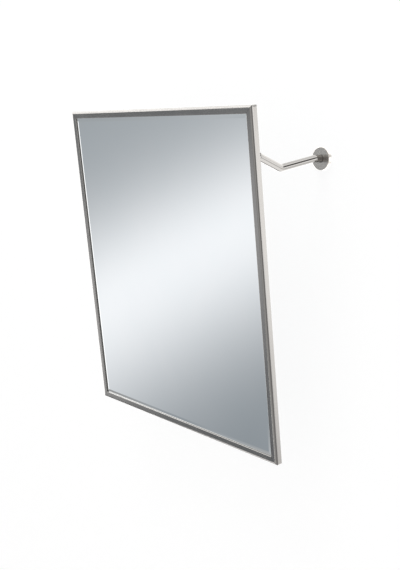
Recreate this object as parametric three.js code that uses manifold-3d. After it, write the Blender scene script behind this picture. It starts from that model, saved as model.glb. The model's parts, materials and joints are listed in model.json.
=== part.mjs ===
// Pivot wall mirror: a framed glass that tilts on two bent tubular wall arms.
// Units are millimetres. +X runs along the wall to the viewer's right, +Y goes into the wall
// and +Z is up. The origin lies on the wall, midway between the rosettes and at their height.

import * as THREE from 'three';
import { mergeVertices } from 'three/addons/utils/BufferGeometryUtils.js';
import Module from 'manifold-3d';

const wasm = await Module();
wasm.setup();

// ---- Driving dimensions -----------------------------------------------------------------

// Framed mirror
const MIRROR_WIDTH = 540;
const MIRROR_HEIGHT = 605;
const REST_TILT_DEG = 6.3; // the top leans out from the wall

// Clearances
const SEAT_GAP = 0.3; // between a piece and the one it rests on
const PIVOT_GAP = 0.15; // between the layers of the pivot, and round its bolt
const MITRE_GAP = 0.3; // open joint between two mitred rails

// Roll-formed frame channel
const SHEET = 0.8;
const FACE_WIDTH = 13.5;
const LIP_DEPTH = 2.2;
const BEND_RADIUS = 5; // outside radius of the bend from face to side
const BACK_BEND_RADIUS = 2; // outside radius of the bend from side to back
const LIP_RADIUS = 1; // outside radius of the bend beside the glass
const BACK_FLANGE = 10;
const CORNER_RADIUS = 3; // ground onto the outer corners
const KEY_THICKNESS = 3.5;
const KEY_LEG = 32;

// What the channel holds
const GLASS_THICKNESS = 4;
const BEVEL_SHOW = 6.5; // width of bevel seen inside the lip
const BEVEL_DROP = 1; // how much thinner the glass is at its edge
const PAD_THICKNESS = 4.5;
const PLATE_THICKNESS = 0.8;

// Clevis brackets on the back plate
const PIVOT_STANDOFF = 9.9; // back plate to pivot axis
const PIVOT_DROP = 78; // top edge of the mirror to pivot axis
const BRACKET_SHEET = 2;
const BRACKET_HEIGHT = 58;
const BRACKET_END_RADIUS = 5;
const EAR_FOOT = 30; // height of an ear where it meets its base
const EAR_RADIUS = 7.5;
const RIVET_INSET = 7; // end of the bracket to rivet
const RIVET_RADIUS = 2;
const RIVET_HEAD_RADIUS = 3.9;
const RIVET_DOME = 1.8;
const RIVET_FOOT = 0.5;

// Pivot bolts, washers and nuts
const BOLT_RADIUS = 2.5;
const BOLT_HEAD_RADIUS = 4.75;
const BOLT_HEAD_HEIGHT = 2.75;
const BOLT_LENGTH = 20;
const BOLT_SOCKET = 3; // across flats
const BOLT_SOCKET_DEPTH = 1.8;
const SPRING_RADIUS = 5;
const SPRING_HEIGHT = 1;
const SPRING_SHEET = 0.5;
const NUT_ACROSS_FLATS = 8;
const NUT_HEX = 3.5;
const NUT_COLLAR = 1.5;
const NUT_COLLAR_WALL = 0.9; // round the bolt hole

// Rubber buffers
const BUFFER_RADIUS = 9;
const BUFFER_HEIGHT = 12;
const BUFFER_EDGE = 3; // radius round its free end
const BUFFER_INSET = 22; // from the side edge and from the lower edge

// Wall arms
const ARM_INSET = 27; // side edge of the mirror to arm
const TUBE_RADIUS = 6.35;
const TUBE_WALL = 1;
const STUB_REACH = 22; // wall to the first joint
const ELBOW_REACH = 100; // wall to the elbow
const ELBOW_DROP = 14; // the elbow lies below the rosette
const ELBOW_RADIUS = 9; // bend of the tube's centre line
const PIVOT_REACH = 160.2; // wall to the pivot axis
const PIVOT_RISE = 10.4; // the pivot lies above the rosette
const TUBE_END = 13; // end of the tube to pivot axis

// Eye in the end of each tube
const TONGUE_THICKNESS = 6;
const EYE_RADIUS = 7;
const COLLAR_LENGTH = 2;
const SHANK_LENGTH = 12;
const PIN_RADIUS = 1.5;
const PIN_SETBACK = 5; // end of the tube to its cross pin
const PIN_SHY = 0.2; // the pin ends lie below the tube's skin
const BUSH_WALL = 1;
const BUSH_FLANGE = 0.8;

// Wall plates, rosettes and the screws that hold the tubes
const WALL_PLATE_THICKNESS = 4;
const ROSETTE_RADIUS = 20;
const ROSETTE_DEPTH = 6.8;
const ROSETTE_SHEET = 1;
const ROSETTE_EDGE = 1.2; // outside radius of the spun edge
const ROSETTE_LIFT = 0.3; // rim of the rosette off the wall
const PLUG_SETBACK = 4; // end of the plug to the tube's first joint
const ARM_SCREW_RADIUS = 3;
const ARM_SCREW_HEAD_RADIUS = 5.6;
const ARM_SCREW_SHY = 1.5; // screw tip to the end of the plug
const ARM_SCREW_SOCKET = 4; // across flats
const ARM_SCREW_SOCKET_DEPTH = 2.6;
const WALL_HOLES = 3;
const WALL_HOLE_CIRCLE = 13; // radius of the circle of holes
const WALL_HOLE_RADIUS = 2.5;
const WALL_SINK_RADIUS = 4.5; // countersink at the front of each hole
const SINK_LAND = 0.45; // straight rim at the wide end of a countersink and its head

// Facets
const ROUND = 36; // sides of a large round
const SMALL_ROUND = 16; // sides of a small round
const BEND_STEPS = 4; // facets in a quarter bend
const HEX = 6;
const SAME_POINT = 1e-4; // corners nearer than this are one

// ---- Sizes that follow from them --------------------------------------------------------

const QUARTER = Math.PI / 2;
const HALF_TURN = Math.PI;
const FULL_TURN = 2 * Math.PI;
const REST_TILT = THREE.MathUtils.degToRad(REST_TILT_DEG);

// Insets are measured in from the outer edge of the frame.
const KEY_INSET = SHEET + SEAT_GAP;
const GLASS_INSET = KEY_INSET + KEY_THICKNESS + SEAT_GAP;
const BEVEL_WIDTH = FACE_WIDTH + BEVEL_SHOW - GLASS_INSET;
const PLATE_INSET = BACK_BEND_RADIUS + SEAT_GAP;
const MITRE_STEP = MITRE_GAP / Math.SQRT2;

// Depths are measured back from the face of the frame. The lip lies over the bevel.
const GLASS_FRONT = LIP_DEPTH + SEAT_GAP - BEVEL_DROP * BEVEL_SHOW / BEVEL_WIDTH;
const GLASS_BACK = GLASS_FRONT + GLASS_THICKNESS;
const PAD_FRONT = GLASS_BACK + SEAT_GAP;
const PAD_BACK = PAD_FRONT + PAD_THICKNESS;
const PLATE_FRONT = PAD_BACK + SEAT_GAP;
const PLATE_BACK = PLATE_FRONT + PLATE_THICKNESS;
const FRAME_DEPTH = PLATE_BACK + SEAT_GAP + SHEET;
const PIVOT_DEPTH = PLATE_BACK + PIVOT_STANDOFF;

// Distances across the pivot are measured from the middle of the tongue.
const BUSH_FACE = TONGUE_THICKNESS / 2 + PIVOT_GAP;
const EAR_INSIDE = BUSH_FACE + BUSH_FLANGE + PIVOT_GAP;
const EAR_OUTSIDE = EAR_INSIDE + BRACKET_SHEET;
const HEAD_SEAT = EAR_OUTSIDE + PIVOT_GAP;
const NUT_SEAT = HEAD_SEAT + SPRING_HEIGHT + PIVOT_GAP;
const BOLT_HOLE = BOLT_RADIUS + PIVOT_GAP;
const BUSH_OUTSIDE = BOLT_HOLE + BUSH_WALL;
const EYE_HOLE = BUSH_OUTSIDE + PIVOT_GAP;

const ARM_X = MIRROR_WIDTH / 2 - ARM_INSET;
const TUBE_BORE = TUBE_RADIUS - TUBE_WALL;
const SHANK_RADIUS = TUBE_BORE - SEAT_GAP;
const WALL_PLATE_RADIUS = ROSETTE_RADIUS - ROSETTE_SHEET - SEAT_GAP;
const PLUG_LENGTH = STUB_REACH - WALL_PLATE_THICKNESS - PLUG_SETBACK;

// ---- Finishes ---------------------------------------------------------------------------

function finish(color, roughness, metalness) {
  return () => new THREE.MeshStandardMaterial({ color, roughness, metalness });
}

const satinSteel = finish(0xb4b1ab, 0.35, 1);
const mirrorSilver = finish(0xe6ecee, 0.02, 1);
const zincSheet = finish(0xa3a8ab, 0.5, 1);
const zincFastener = finish(0xb9bcbc, 0.4, 1);
const greyFoam = finish(0x55585a, 0.95, 0);
const blackRubber = finish(0x1c1c1d, 0.85, 0);
const whiteNylon = finish(0xe4e2d8, 0.55, 0);

// ---- Solids -----------------------------------------------------------------------------

// Closed mesh of shared vertices, faces outward, with no collapsed triangles.
function closedMesh(geometry) {
  const bare = new THREE.BufferGeometry();
  bare.setAttribute('position', geometry.getAttribute('position').clone());
  if (geometry.index) bare.setIndex(geometry.index.clone());
  const merged = mergeVertices(bare, SAME_POINT);
  const corners = merged.index.array;
  const point = merged.getAttribute('position');
  const [a, b, c] = [new THREE.Vector3(), new THREE.Vector3(), new THREE.Vector3()];
  const kept = [];
  let volume = 0;
  for (let i = 0; i < corners.length; i += 3) {
    const [p, q, r] = corners.slice(i, i + 3);
    if (p === q || q === r || r === p) continue;
    kept.push(p, q, r);
    a.fromBufferAttribute(point, p);
    b.fromBufferAttribute(point, q);
    c.fromBufferAttribute(point, r);
    volume += a.dot(b.cross(c));
  }
  merged.setIndex(volume < 0 ? kept.reverse() : kept);
  return merged;
}

function toSolid(geometry) {
  const mesh = closedMesh(geometry);
  return new wasm.Manifold(new wasm.Mesh({
    numProp: 3,
    vertProperties: new Float32Array(mesh.getAttribute('position').array),
    triVerts: new Uint32Array(mesh.index.array),
  }));
}

function toGeometry(solid) {
  const mesh = solid.getMesh();
  const geometry = new THREE.BufferGeometry();
  geometry.setAttribute('position', new THREE.BufferAttribute(mesh.vertProperties, 3));
  geometry.setIndex(new THREE.BufferAttribute(mesh.triVerts, 1));
  return geometry;
}

function join(...geometries) {
  return toGeometry(geometries.map(toSolid).reduce((whole, piece) => whole.add(piece)));
}

function cut(geometry, ...tools) {
  return toGeometry(tools.map(toSolid).reduce((rest, tool) => rest.subtract(tool), toSolid(geometry)));
}

function overlap(geometry, envelope) {
  return toGeometry(toSolid(geometry).intersect(toSolid(envelope)));
}

// Body of revolution about Y from [radius, y] points that go round its section once.
function turned(points, sides) {
  const section = points.map(([radius, y]) => new THREE.Vector2(radius, y));
  section.push(section[0].clone());
  return closedMesh(new THREE.LatheGeometry(section, sides));
}

// Round bar or tube along Y from y = low to y = high.
function bar(radius, low, high, sides = SMALL_ROUND) {
  return turned([[0, low], [radius, low], [radius, high], [0, high]], sides);
}

function ring(inner, outer, low, high, sides = SMALL_ROUND) {
  return turned([[inner, low], [outer, low], [outer, high], [inner, high]], sides);
}

// Hexagonal bar along Y, given across its flats.
function hexBar(acrossFlats, low, high) {
  return bar(acrossFlats / 2 / Math.cos(Math.PI / HEX), low, high, HEX);
}

// Block from its lowest to its highest corner.
function block(low, high) {
  const size = high.map((value, axis) => value - low[axis]);
  const middle = high.map((value, axis) => (value + low[axis]) / 2);
  return new THREE.BoxGeometry(...size).translate(...middle);
}

// Plate of a given outline in X and Z, from y = front to y = back.
function plate(outline, front, back, steps = BEND_STEPS) {
  const options = { depth: back - front, bevelEnabled: false, curveSegments: steps };
  const geometry = new THREE.ExtrudeGeometry(outline, options);
  return geometry.rotateX(QUARTER).translate(0, back, 0);
}

// Turned geometry laid along X, its low end on the left for side +1 and on the right for -1.
function alongX(geometry, side = 1) {
  return geometry.clone().rotateZ(-side * QUARTER);
}

function rectangle(left, right, low, high) {
  const shape = new THREE.Shape();
  shape.moveTo(left, low).lineTo(right, low).lineTo(right, high).lineTo(left, high);
  shape.closePath();
  return shape;
}

// A named piece of the model.
function piece(name, geometry, material, position = [0, 0, 0], rotation = [0, 0, 0]) {
  const shaded = closedMesh(geometry).toNonIndexed();
  shaded.computeVertexNormals();
  const mesh = new THREE.Mesh(shaded, material());
  mesh.name = name;
  mesh.position.set(...position);
  mesh.rotation.set(...rotation);
  return mesh;
}

// ---- Frame ------------------------------------------------------------------------------

// Section of the channel: x is the inset from the outer edge, y the depth behind the face.
function channelSection() {
  const bendInside = BEND_RADIUS - SHEET;
  const backInside = BACK_BEND_RADIUS - SHEET;
  const lipInside = Math.max(LIP_RADIUS - SHEET, 0);
  const backDepth = FRAME_DEPTH - BACK_BEND_RADIUS;
  const lipInset = FACE_WIDTH - LIP_RADIUS;
  const shape = new THREE.Shape();
  shape.moveTo(FACE_WIDTH, LIP_DEPTH);
  shape.absarc(lipInset, LIP_RADIUS, LIP_RADIUS, 0, -QUARTER, true);
  shape.absarc(BEND_RADIUS, BEND_RADIUS, BEND_RADIUS, -QUARTER, -HALF_TURN, true);
  shape.absarc(BACK_BEND_RADIUS, backDepth, BACK_BEND_RADIUS, HALF_TURN, QUARTER, true);
  shape.lineTo(BACK_FLANGE, FRAME_DEPTH);
  shape.lineTo(BACK_FLANGE, FRAME_DEPTH - SHEET);
  shape.absarc(BACK_BEND_RADIUS, backDepth, backInside, QUARTER, HALF_TURN, false);
  shape.absarc(BEND_RADIUS, BEND_RADIUS, bendInside, HALF_TURN, 3 * QUARTER, false);
  shape.absarc(lipInset, LIP_RADIUS, lipInside, -QUARTER, 0, false);
  shape.lineTo(FACE_WIDTH - SHEET, LIP_DEPTH);
  shape.closePath();
  return shape;
}

// Rail along X with mitred ends. Its outer edge is at z = 0 and its face at y = 0.
function railGeometry(length) {
  const options = { depth: 1, bevelEnabled: false, curveSegments: BEND_STEPS };
  const geometry = new THREE.ExtrudeGeometry(channelSection(), options);
  const point = geometry.getAttribute('position');
  for (let i = 0; i < point.count; i += 1) {
    const inset = point.getX(i);
    const end = point.getZ(i) > 0 ? 1 : -1;
    point.setXYZ(i, end * (length / 2 - inset - MITRE_STEP), point.getY(i), -inset);
  }
  return overlap(geometry, roundedEnvelope(length));
}

// Block with the frame's two rounded outer corners at the ends of a rail.
function roundedEnvelope(length) {
  const half = length / 2;
  const reach = FACE_WIDTH + BACK_FLANGE;
  const outline = new THREE.Shape();
  outline.moveTo(-half, -reach);
  outline.lineTo(half, -reach);
  outline.absarc(half - CORNER_RADIUS, -CORNER_RADIUS, CORNER_RADIUS, 0, QUARTER, false);
  outline.absarc(CORNER_RADIUS - half, -CORNER_RADIUS, CORNER_RADIUS, QUARTER, HALF_TURN, false);
  outline.closePath();
  return plate(outline, -SHEET, FRAME_DEPTH + SHEET);
}

function frameRails() {
  const across = railGeometry(MIRROR_WIDTH);
  const upright = railGeometry(MIRROR_HEIGHT);
  const side = MIRROR_WIDTH / 2;
  const middle = -MIRROR_HEIGHT / 2;
  return [
    piece('frame_top_rail', across, satinSteel),
    piece('frame_bottom_rail', across, satinSteel, [0, 0, -MIRROR_HEIGHT], [0, HALF_TURN, 0]),
    piece('frame_left_stile', upright, satinSteel, [-side, 0, middle], [0, -QUARTER, 0]),
    piece('frame_right_stile', upright, satinSteel, [side, 0, middle], [0, QUARTER, 0]),
  ];
}

// L-shaped key inside two mitred rails, drawn for the upper right corner.
function cornerKey(name, cornerX, cornerZ, turn) {
  const inner = KEY_INSET + KEY_THICKNESS;
  const outline = new THREE.Shape();
  outline.moveTo(-KEY_INSET, -KEY_INSET);
  outline.lineTo(-KEY_INSET - KEY_LEG, -KEY_INSET);
  outline.lineTo(-KEY_INSET - KEY_LEG, -inner);
  outline.lineTo(-inner, -inner);
  outline.lineTo(-inner, -KEY_INSET - KEY_LEG);
  outline.lineTo(-KEY_INSET, -KEY_INSET - KEY_LEG);
  outline.closePath();
  const geometry = plate(outline, BEND_RADIUS, PLATE_FRONT - SEAT_GAP);
  return piece(name, geometry, zincSheet, [cornerX, 0, cornerZ], [0, turn, 0]);
}

function cornerKeys() {
  const side = MIRROR_WIDTH / 2;
  return [
    cornerKey('corner_key_top_right', side, 0, 0),
    cornerKey('corner_key_bottom_right', side, -MIRROR_HEIGHT, QUARTER),
    cornerKey('corner_key_bottom_left', -side, -MIRROR_HEIGHT, HALF_TURN),
    cornerKey('corner_key_top_left', -side, 0, -QUARTER),
  ];
}

// ---- Glass, pad and back plate ----------------------------------------------------------

// Glass with a flat field and a narrow bevel that runs out to a thinner edge.
function glassGeometry() {
  const edge = { x: MIRROR_WIDTH / 2 - GLASS_INSET, z: MIRROR_HEIGHT / 2 - GLASS_INSET };
  const field = { x: edge.x - BEVEL_WIDTH, z: edge.z - BEVEL_WIDTH };
  const rings = [
    [field, GLASS_FRONT],
    [edge, GLASS_FRONT + BEVEL_DROP],
    [edge, GLASS_BACK],
  ];
  const positions = rings.flatMap(([half, y]) => [
    -half.x, y, -half.z,
    half.x, y, -half.z,
    half.x, y, half.z,
    -half.x, y, half.z,
  ]);
  const faces = [0, 2, 1, 0, 3, 2];
  for (let level = 0; level < rings.length - 1; level += 1) {
    for (let side = 0; side < 4; side += 1) {
      const here = 4 * level + side;
      const next = 4 * level + (side + 1) % 4;
      faces.push(here, next, next + 4, here, next + 4, here + 4);
    }
  }
  const last = 4 * (rings.length - 1);
  faces.push(last, last + 1, last + 2, last, last + 2, last + 3);
  const geometry = new THREE.BufferGeometry();
  geometry.setAttribute('position', new THREE.Float32BufferAttribute(positions, 3));
  geometry.setIndex(faces);
  return geometry;
}

// Centres of the rivets, in the mirror's own X and Z.
function rivetPlaces() {
  const reach = BRACKET_HEIGHT / 2 - RIVET_INSET;
  return [-1, 1].flatMap((side) => [-1, 1].map((end) => ({
    name: `bracket_rivet_${side < 0 ? 'left' : 'right'}_${end < 0 ? 'lower' : 'upper'}`,
    x: side * ARM_X,
    z: -PIVOT_DROP + end * reach,
  })));
}

// Sheet behind the glass, set in from the frame's outer edge, with a hole at each rivet.
function rivetedSheet(inset, front, back, holeRadius) {
  const side = MIRROR_WIDTH / 2 - inset;
  const outline = rectangle(-side, side, inset - MIRROR_HEIGHT, -inset);
  for (const { x, z } of rivetPlaces()) {
    const hole = new THREE.Path();
    hole.absarc(x, z, holeRadius, 0, FULL_TURN, true);
    outline.holes.push(hole);
  }
  return plate(outline, front, back, SMALL_ROUND / 2);
}

function glassAndBacking() {
  const padHole = RIVET_HEAD_RADIUS + SEAT_GAP;
  const plateHole = RIVET_RADIUS + SEAT_GAP;
  const pad = rivetedSheet(GLASS_INSET, PAD_FRONT, PAD_BACK, padHole);
  const back = rivetedSheet(PLATE_INSET, PLATE_FRONT, PLATE_BACK, plateHole);
  return [
    piece('mirror_glass', glassGeometry(), mirrorSilver, [0, 0, -MIRROR_HEIGHT / 2]),
    piece('backing_pad', pad, greyFoam),
    piece('back_plate', back, zincSheet),
  ];
}

// ---- Brackets ---------------------------------------------------------------------------

// Ear of the clevis in the plane of depth and height, round about the pivot at its origin.
function earGeometry(inside, outside, baseDepth) {
  const foot = EAR_FOOT / 2;
  const reach = Math.hypot(foot, baseDepth);
  const tangent = Math.atan2(-baseDepth, foot) + Math.acos(EAR_RADIUS / reach);
  const outline = new THREE.Shape();
  outline.moveTo(-foot, -baseDepth);
  outline.lineTo(foot, -baseDepth);
  outline.absarc(0, 0, EAR_RADIUS, tangent, HALF_TURN - tangent, false);
  outline.closePath();
  const options = { depth: outside - inside, bevelEnabled: false, curveSegments: SMALL_ROUND / 2 };
  const geometry = new THREE.ExtrudeGeometry(outline, options).translate(0, 0, inside);
  const swap = new THREE.Matrix4().makeBasis(
    new THREE.Vector3(0, 0, 1),
    new THREE.Vector3(0, 1, 0),
    new THREE.Vector3(1, 0, 0),
  );
  return geometry.applyMatrix4(swap);
}

// Clevis about the pivot axis: y is the distance back from the axis, towards the wall.
function bracketGeometry() {
  const baseDepth = PIVOT_STANDOFF - SEAT_GAP;
  const half = BRACKET_HEIGHT / 2;
  const base = new THREE.Shape();
  const corner = Math.min(BRACKET_END_RADIUS, EAR_OUTSIDE);
  base.absarc(EAR_OUTSIDE - corner, half - corner, corner, 0, QUARTER, false);
  base.absarc(corner - EAR_OUTSIDE, half - corner, corner, QUARTER, HALF_TURN, false);
  base.absarc(corner - EAR_OUTSIDE, corner - half, corner, HALF_TURN, 3 * QUARTER, false);
  base.absarc(EAR_OUTSIDE - corner, corner - half, corner, 3 * QUARTER, FULL_TURN, false);
  base.closePath();
  const strip = plate(base, -baseDepth, BRACKET_SHEET - baseDepth);
  const clevis = join(
    strip,
    earGeometry(EAR_INSIDE, EAR_OUTSIDE, baseDepth),
    earGeometry(-EAR_OUTSIDE, -EAR_INSIDE, baseDepth),
  );
  const boltHole = alongX(bar(BOLT_HOLE, -2 * EAR_OUTSIDE, 2 * EAR_OUTSIDE));
  const rivetHole = bar(RIVET_RADIUS + SEAT_GAP, -2 * baseDepth, 0);
  const reach = half - RIVET_INSET;
  return cut(
    clevis,
    boltHole,
    rivetHole.clone().translate(0, 0, reach),
    rivetHole.clone().translate(0, 0, -reach),
  );
}

// Rivet along Y with its flat foot under the back plate and its dome on the bracket.
function rivetGeometry() {
  const foot = PLATE_FRONT - PAD_FRONT;
  const seat = PLATE_THICKNESS + SEAT_GAP + BRACKET_SHEET + SEAT_GAP;
  const points = [[0, -foot], [RIVET_HEAD_RADIUS, -foot]];
  points.push([RIVET_HEAD_RADIUS, RIVET_FOOT - foot], [RIVET_RADIUS, RIVET_FOOT - foot]);
  points.push([RIVET_RADIUS, seat]);
  for (let step = 0; step <= BEND_STEPS; step += 1) {
    const angle = QUARTER * step / BEND_STEPS;
    points.push([RIVET_HEAD_RADIUS * Math.cos(angle), seat + RIVET_DOME * Math.sin(angle)]);
  }
  return turned(points, SMALL_ROUND);
}

function bracketsAndRivets() {
  const bracket = bracketGeometry();
  const rivet = rivetGeometry();
  return [
    piece('pivot_bracket_left', bracket, satinSteel, [-ARM_X, PIVOT_DEPTH, -PIVOT_DROP]),
    piece('pivot_bracket_right', bracket, satinSteel, [ARM_X, PIVOT_DEPTH, -PIVOT_DROP]),
    ...rivetPlaces().map(({ name, x, z }) => piece(name, rivet, zincFastener, [x, PLATE_FRONT, z])),
  ];
}

// ---- Pivot fasteners --------------------------------------------------------------------

// Button-head bolt along Y: the head's seat is at y = 0 and the shank runs to negative y.
function boltGeometry() {
  const points = [[0, -BOLT_LENGTH], [BOLT_RADIUS, -BOLT_LENGTH], [BOLT_RADIUS, 0]];
  for (let step = 0; step < BEND_STEPS; step += 1) {
    const angle = QUARTER * step / BEND_STEPS;
    points.push([BOLT_HEAD_RADIUS * Math.cos(angle), BOLT_HEAD_HEIGHT * Math.sin(angle)]);
  }
  points.push([0, BOLT_HEAD_HEIGHT]);
  const socket = hexBar(BOLT_SOCKET, BOLT_HEAD_HEIGHT - BOLT_SOCKET_DEPTH, 2 * BOLT_HEAD_HEIGHT);
  return cut(turned(points, SMALL_ROUND), socket);
}

function springGeometry() {
  const rise = SPRING_HEIGHT - SPRING_SHEET;
  return turned([
    [BOLT_HOLE, rise],
    [SPRING_RADIUS, 0],
    [SPRING_RADIUS, SPRING_SHEET],
    [BOLT_HOLE, SPRING_HEIGHT],
  ], SMALL_ROUND);
}

function nutGeometry() {
  const body = join(
    hexBar(NUT_ACROSS_FLATS, 0, NUT_HEX),
    bar(BOLT_HOLE + NUT_COLLAR_WALL, NUT_HEX / 2, NUT_HEX + NUT_COLLAR),
  );
  return cut(body, bar(BOLT_HOLE, -NUT_HEX, 2 * (NUT_HEX + NUT_COLLAR)));
}

// Bolt from the outer side of one pivot, with the spring washer and nut on its inner side.
function pivotFasteners(side, word) {
  const bolt = alongX(boltGeometry(), side);
  const spring = alongX(springGeometry(), -side);
  const nut = alongX(nutGeometry(), -side);
  const at = (distance) => [side * (ARM_X + distance), PIVOT_DEPTH, -PIVOT_DROP];
  return [
    piece(`pivot_bolt_${word}`, bolt, zincFastener, at(HEAD_SEAT)),
    piece(`spring_washer_${word}`, spring, zincFastener, at(-HEAD_SEAT)),
    piece(`lock_nut_${word}`, nut, zincFastener, at(-NUT_SEAT)),
  ];
}

// ---- Buffers ----------------------------------------------------------------------------

function bufferGeometry() {
  const points = [[0, 0], [BUFFER_RADIUS, 0]];
  for (let step = 0; step <= BEND_STEPS; step += 1) {
    const angle = QUARTER * step / BEND_STEPS;
    const radius = BUFFER_RADIUS - BUFFER_EDGE * (1 - Math.cos(angle));
    points.push([radius, BUFFER_HEIGHT - BUFFER_EDGE * (1 - Math.sin(angle))]);
  }
  points.push([0, BUFFER_HEIGHT]);
  return turned(points, ROUND / 2);
}

function buffers() {
  const buffer = bufferGeometry();
  const x = MIRROR_WIDTH / 2 - BUFFER_INSET;
  const place = [PLATE_BACK + SEAT_GAP, BUFFER_INSET - MIRROR_HEIGHT];
  return [
    piece('wall_buffer_left', buffer, blackRubber, [-x, ...place]),
    piece('wall_buffer_right', buffer, blackRubber, [x, ...place]),
  ];
}

// ---- Wall arms --------------------------------------------------------------------------

// Points of a bend of the given radius that rounds one corner of a route.
function bendPoints(before, corner, after, radius) {
  const back = before.clone().sub(corner).normalize();
  const ahead = after.clone().sub(corner).normalize();
  const half = Math.acos(back.dot(ahead)) / 2;
  const middle = back.clone().add(ahead).setLength(radius / Math.sin(half)).add(corner);
  const turn = HALF_TURN - 2 * half;
  const side = Math.sign(back.cross(ahead));
  return Array.from({ length: BEND_STEPS + 1 }, (_, step) => {
    const angle = side * turn * (step / BEND_STEPS - 1 / 2);
    const spoke = corner.clone().sub(middle).setLength(radius);
    return spoke.rotateAround(new THREE.Vector2(), -angle).add(middle);
  });
}

// Centre line of an arm in Y and Z, from its wall plate to the open end at the pivot.
function armRoute() {
  const stub = new THREE.Vector2(-STUB_REACH, 0);
  const elbow = new THREE.Vector2(-ELBOW_REACH, -ELBOW_DROP);
  const pivot = new THREE.Vector2(-PIVOT_REACH, PIVOT_RISE);
  const back = elbow.clone().sub(pivot).setLength(TUBE_END);
  return [
    new THREE.Vector2(-WALL_PLATE_THICKNESS, 0),
    stub,
    ...bendPoints(stub, elbow, pivot, ELBOW_RADIUS),
    pivot.clone().add(back),
  ];
}

// Angle of the arm's last straight, seen from the pivot towards the elbow.
function armAngle() {
  return Math.atan2(-ELBOW_DROP - PIVOT_RISE, PIVOT_REACH - ELBOW_REACH);
}

// Skin of a round bar along a route, with a sharp mitre at each joint and flat square ends.
function mitredBar(route, radius, overrun) {
  const stations = route.map((point) => point.clone());
  const last = stations.length - 1;
  const heading = (i) => stations[i + 1].clone().sub(stations[i]).normalize();
  stations[0].addScaledVector(heading(0), -overrun);
  stations[last].addScaledVector(heading(last - 1), overrun);
  const positions = [];
  stations.forEach((point, i) => {
    const before = heading(Math.max(i - 1, 0));
    const after = heading(Math.min(i, last - 1));
    const across = before.clone().add(after).normalize();
    const stretch = 1 / across.dot(after);
    for (let k = 0; k < ROUND; k += 1) {
      const angle = FULL_TURN * k / ROUND;
      const rise = radius * Math.sin(angle) * stretch;
      positions.push(radius * Math.cos(angle), point.x - across.y * rise, point.y + across.x * rise);
    }
  });
  const faces = [];
  for (let k = 0; k < ROUND; k += 1) {
    const next = (k + 1) % ROUND;
    for (let i = 0; i < last; i += 1) {
      const [a, b] = [i * ROUND + k, i * ROUND + next];
      faces.push(a, b, b + ROUND, a, b + ROUND, a + ROUND);
    }
    if (k > 0 && next > 0) {
      faces.push(0, next, k, last * ROUND, last * ROUND + k, last * ROUND + next);
    }
  }
  const geometry = new THREE.BufferGeometry();
  geometry.setAttribute('position', new THREE.Float32BufferAttribute(positions, 3));
  geometry.setIndex(faces);
  return geometry;
}

function tubeGeometry() {
  const route = armRoute();
  const pin = alongX(bar(PIN_RADIUS + PIVOT_GAP, -2 * TUBE_RADIUS, 2 * TUBE_RADIUS));
  pin.translate(0, TUBE_END + PIN_SETBACK, 0).rotateX(armAngle());
  pin.translate(0, -PIVOT_REACH, PIVOT_RISE);
  return cut(mitredBar(route, TUBE_RADIUS, 0), mitredBar(route, TUBE_BORE, TUBE_WALL), pin);
}

// Eye about the pivot axis: y runs down the arm towards the elbow.
function eyeGeometry() {
  const collarStart = TUBE_END - SEAT_GAP - COLLAR_LENGTH;
  const collarEnd = TUBE_END - SEAT_GAP;
  const half = TONGUE_THICKNESS / 2;
  const flat = Math.min(EYE_RADIUS, TUBE_RADIUS - SEAT_GAP);
  const tongue = block([-half, 0, -flat], [half, collarEnd, flat]);
  const cross = alongX(bar(PIN_RADIUS + PIVOT_GAP, -2 * TUBE_RADIUS, 2 * TUBE_RADIUS));
  const body = join(
    alongX(bar(EYE_RADIUS, -half, half, ROUND)),
    tongue,
    bar(TUBE_RADIUS, collarStart, collarEnd, ROUND),
    bar(SHANK_RADIUS, collarStart, TUBE_END + SHANK_LENGTH, ROUND),
  );
  return cut(
    body,
    alongX(bar(EYE_HOLE, -TONGUE_THICKNESS, TONGUE_THICKNESS)),
    cross.translate(0, TUBE_END + PIN_SETBACK, 0),
  );
}

// Flanged bush along Y: the sleeve runs from its flange to just short of the eye's middle.
function bushGeometry() {
  const sleeveEnd = PIVOT_GAP / 2;
  return turned([
    [BOLT_HOLE, sleeveEnd],
    [BUSH_OUTSIDE, sleeveEnd],
    [BUSH_OUTSIDE, BUSH_FACE],
    [EYE_RADIUS, BUSH_FACE],
    [EYE_RADIUS, BUSH_FACE + BUSH_FLANGE],
    [BOLT_HOLE, BUSH_FACE + BUSH_FLANGE],
  ], SMALL_ROUND);
}

function eyePieces(side, word) {
  const pinHalf = Math.sqrt(TUBE_RADIUS ** 2 - PIN_RADIUS ** 2) - PIN_SHY;
  const pin = alongX(bar(PIN_RADIUS, -pinHalf, pinHalf)).translate(0, TUBE_END + PIN_SETBACK, 0);
  const eye = new THREE.Group();
  eye.position.set(0, -PIVOT_REACH, PIVOT_RISE);
  eye.rotation.x = armAngle();
  eye.add(
    piece(`arm_eye_${word}`, eyeGeometry(), satinSteel),
    piece(`eye_pin_${word}`, pin, zincFastener),
    piece(`pivot_bush_${word}_outer`, alongX(bushGeometry(), side), whiteNylon),
    piece(`pivot_bush_${word}_inner`, alongX(bushGeometry(), -side), whiteNylon),
  );
  return eye;
}

// ---- Wall plates and rosettes -----------------------------------------------------------

// Sink and bore of a countersunk hole along Y. The sink's wide end is at y = 0, and both run
// past the plate by the given overrun.
function countersinkTool(sinkRadius, holeRadius, overrun) {
  return turned([
    [0, -overrun],
    [sinkRadius, -overrun],
    [sinkRadius, SINK_LAND],
    [holeRadius, SINK_LAND + sinkRadius - holeRadius],
    [holeRadius, overrun],
    [0, overrun],
  ], SMALL_ROUND);
}

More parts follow.
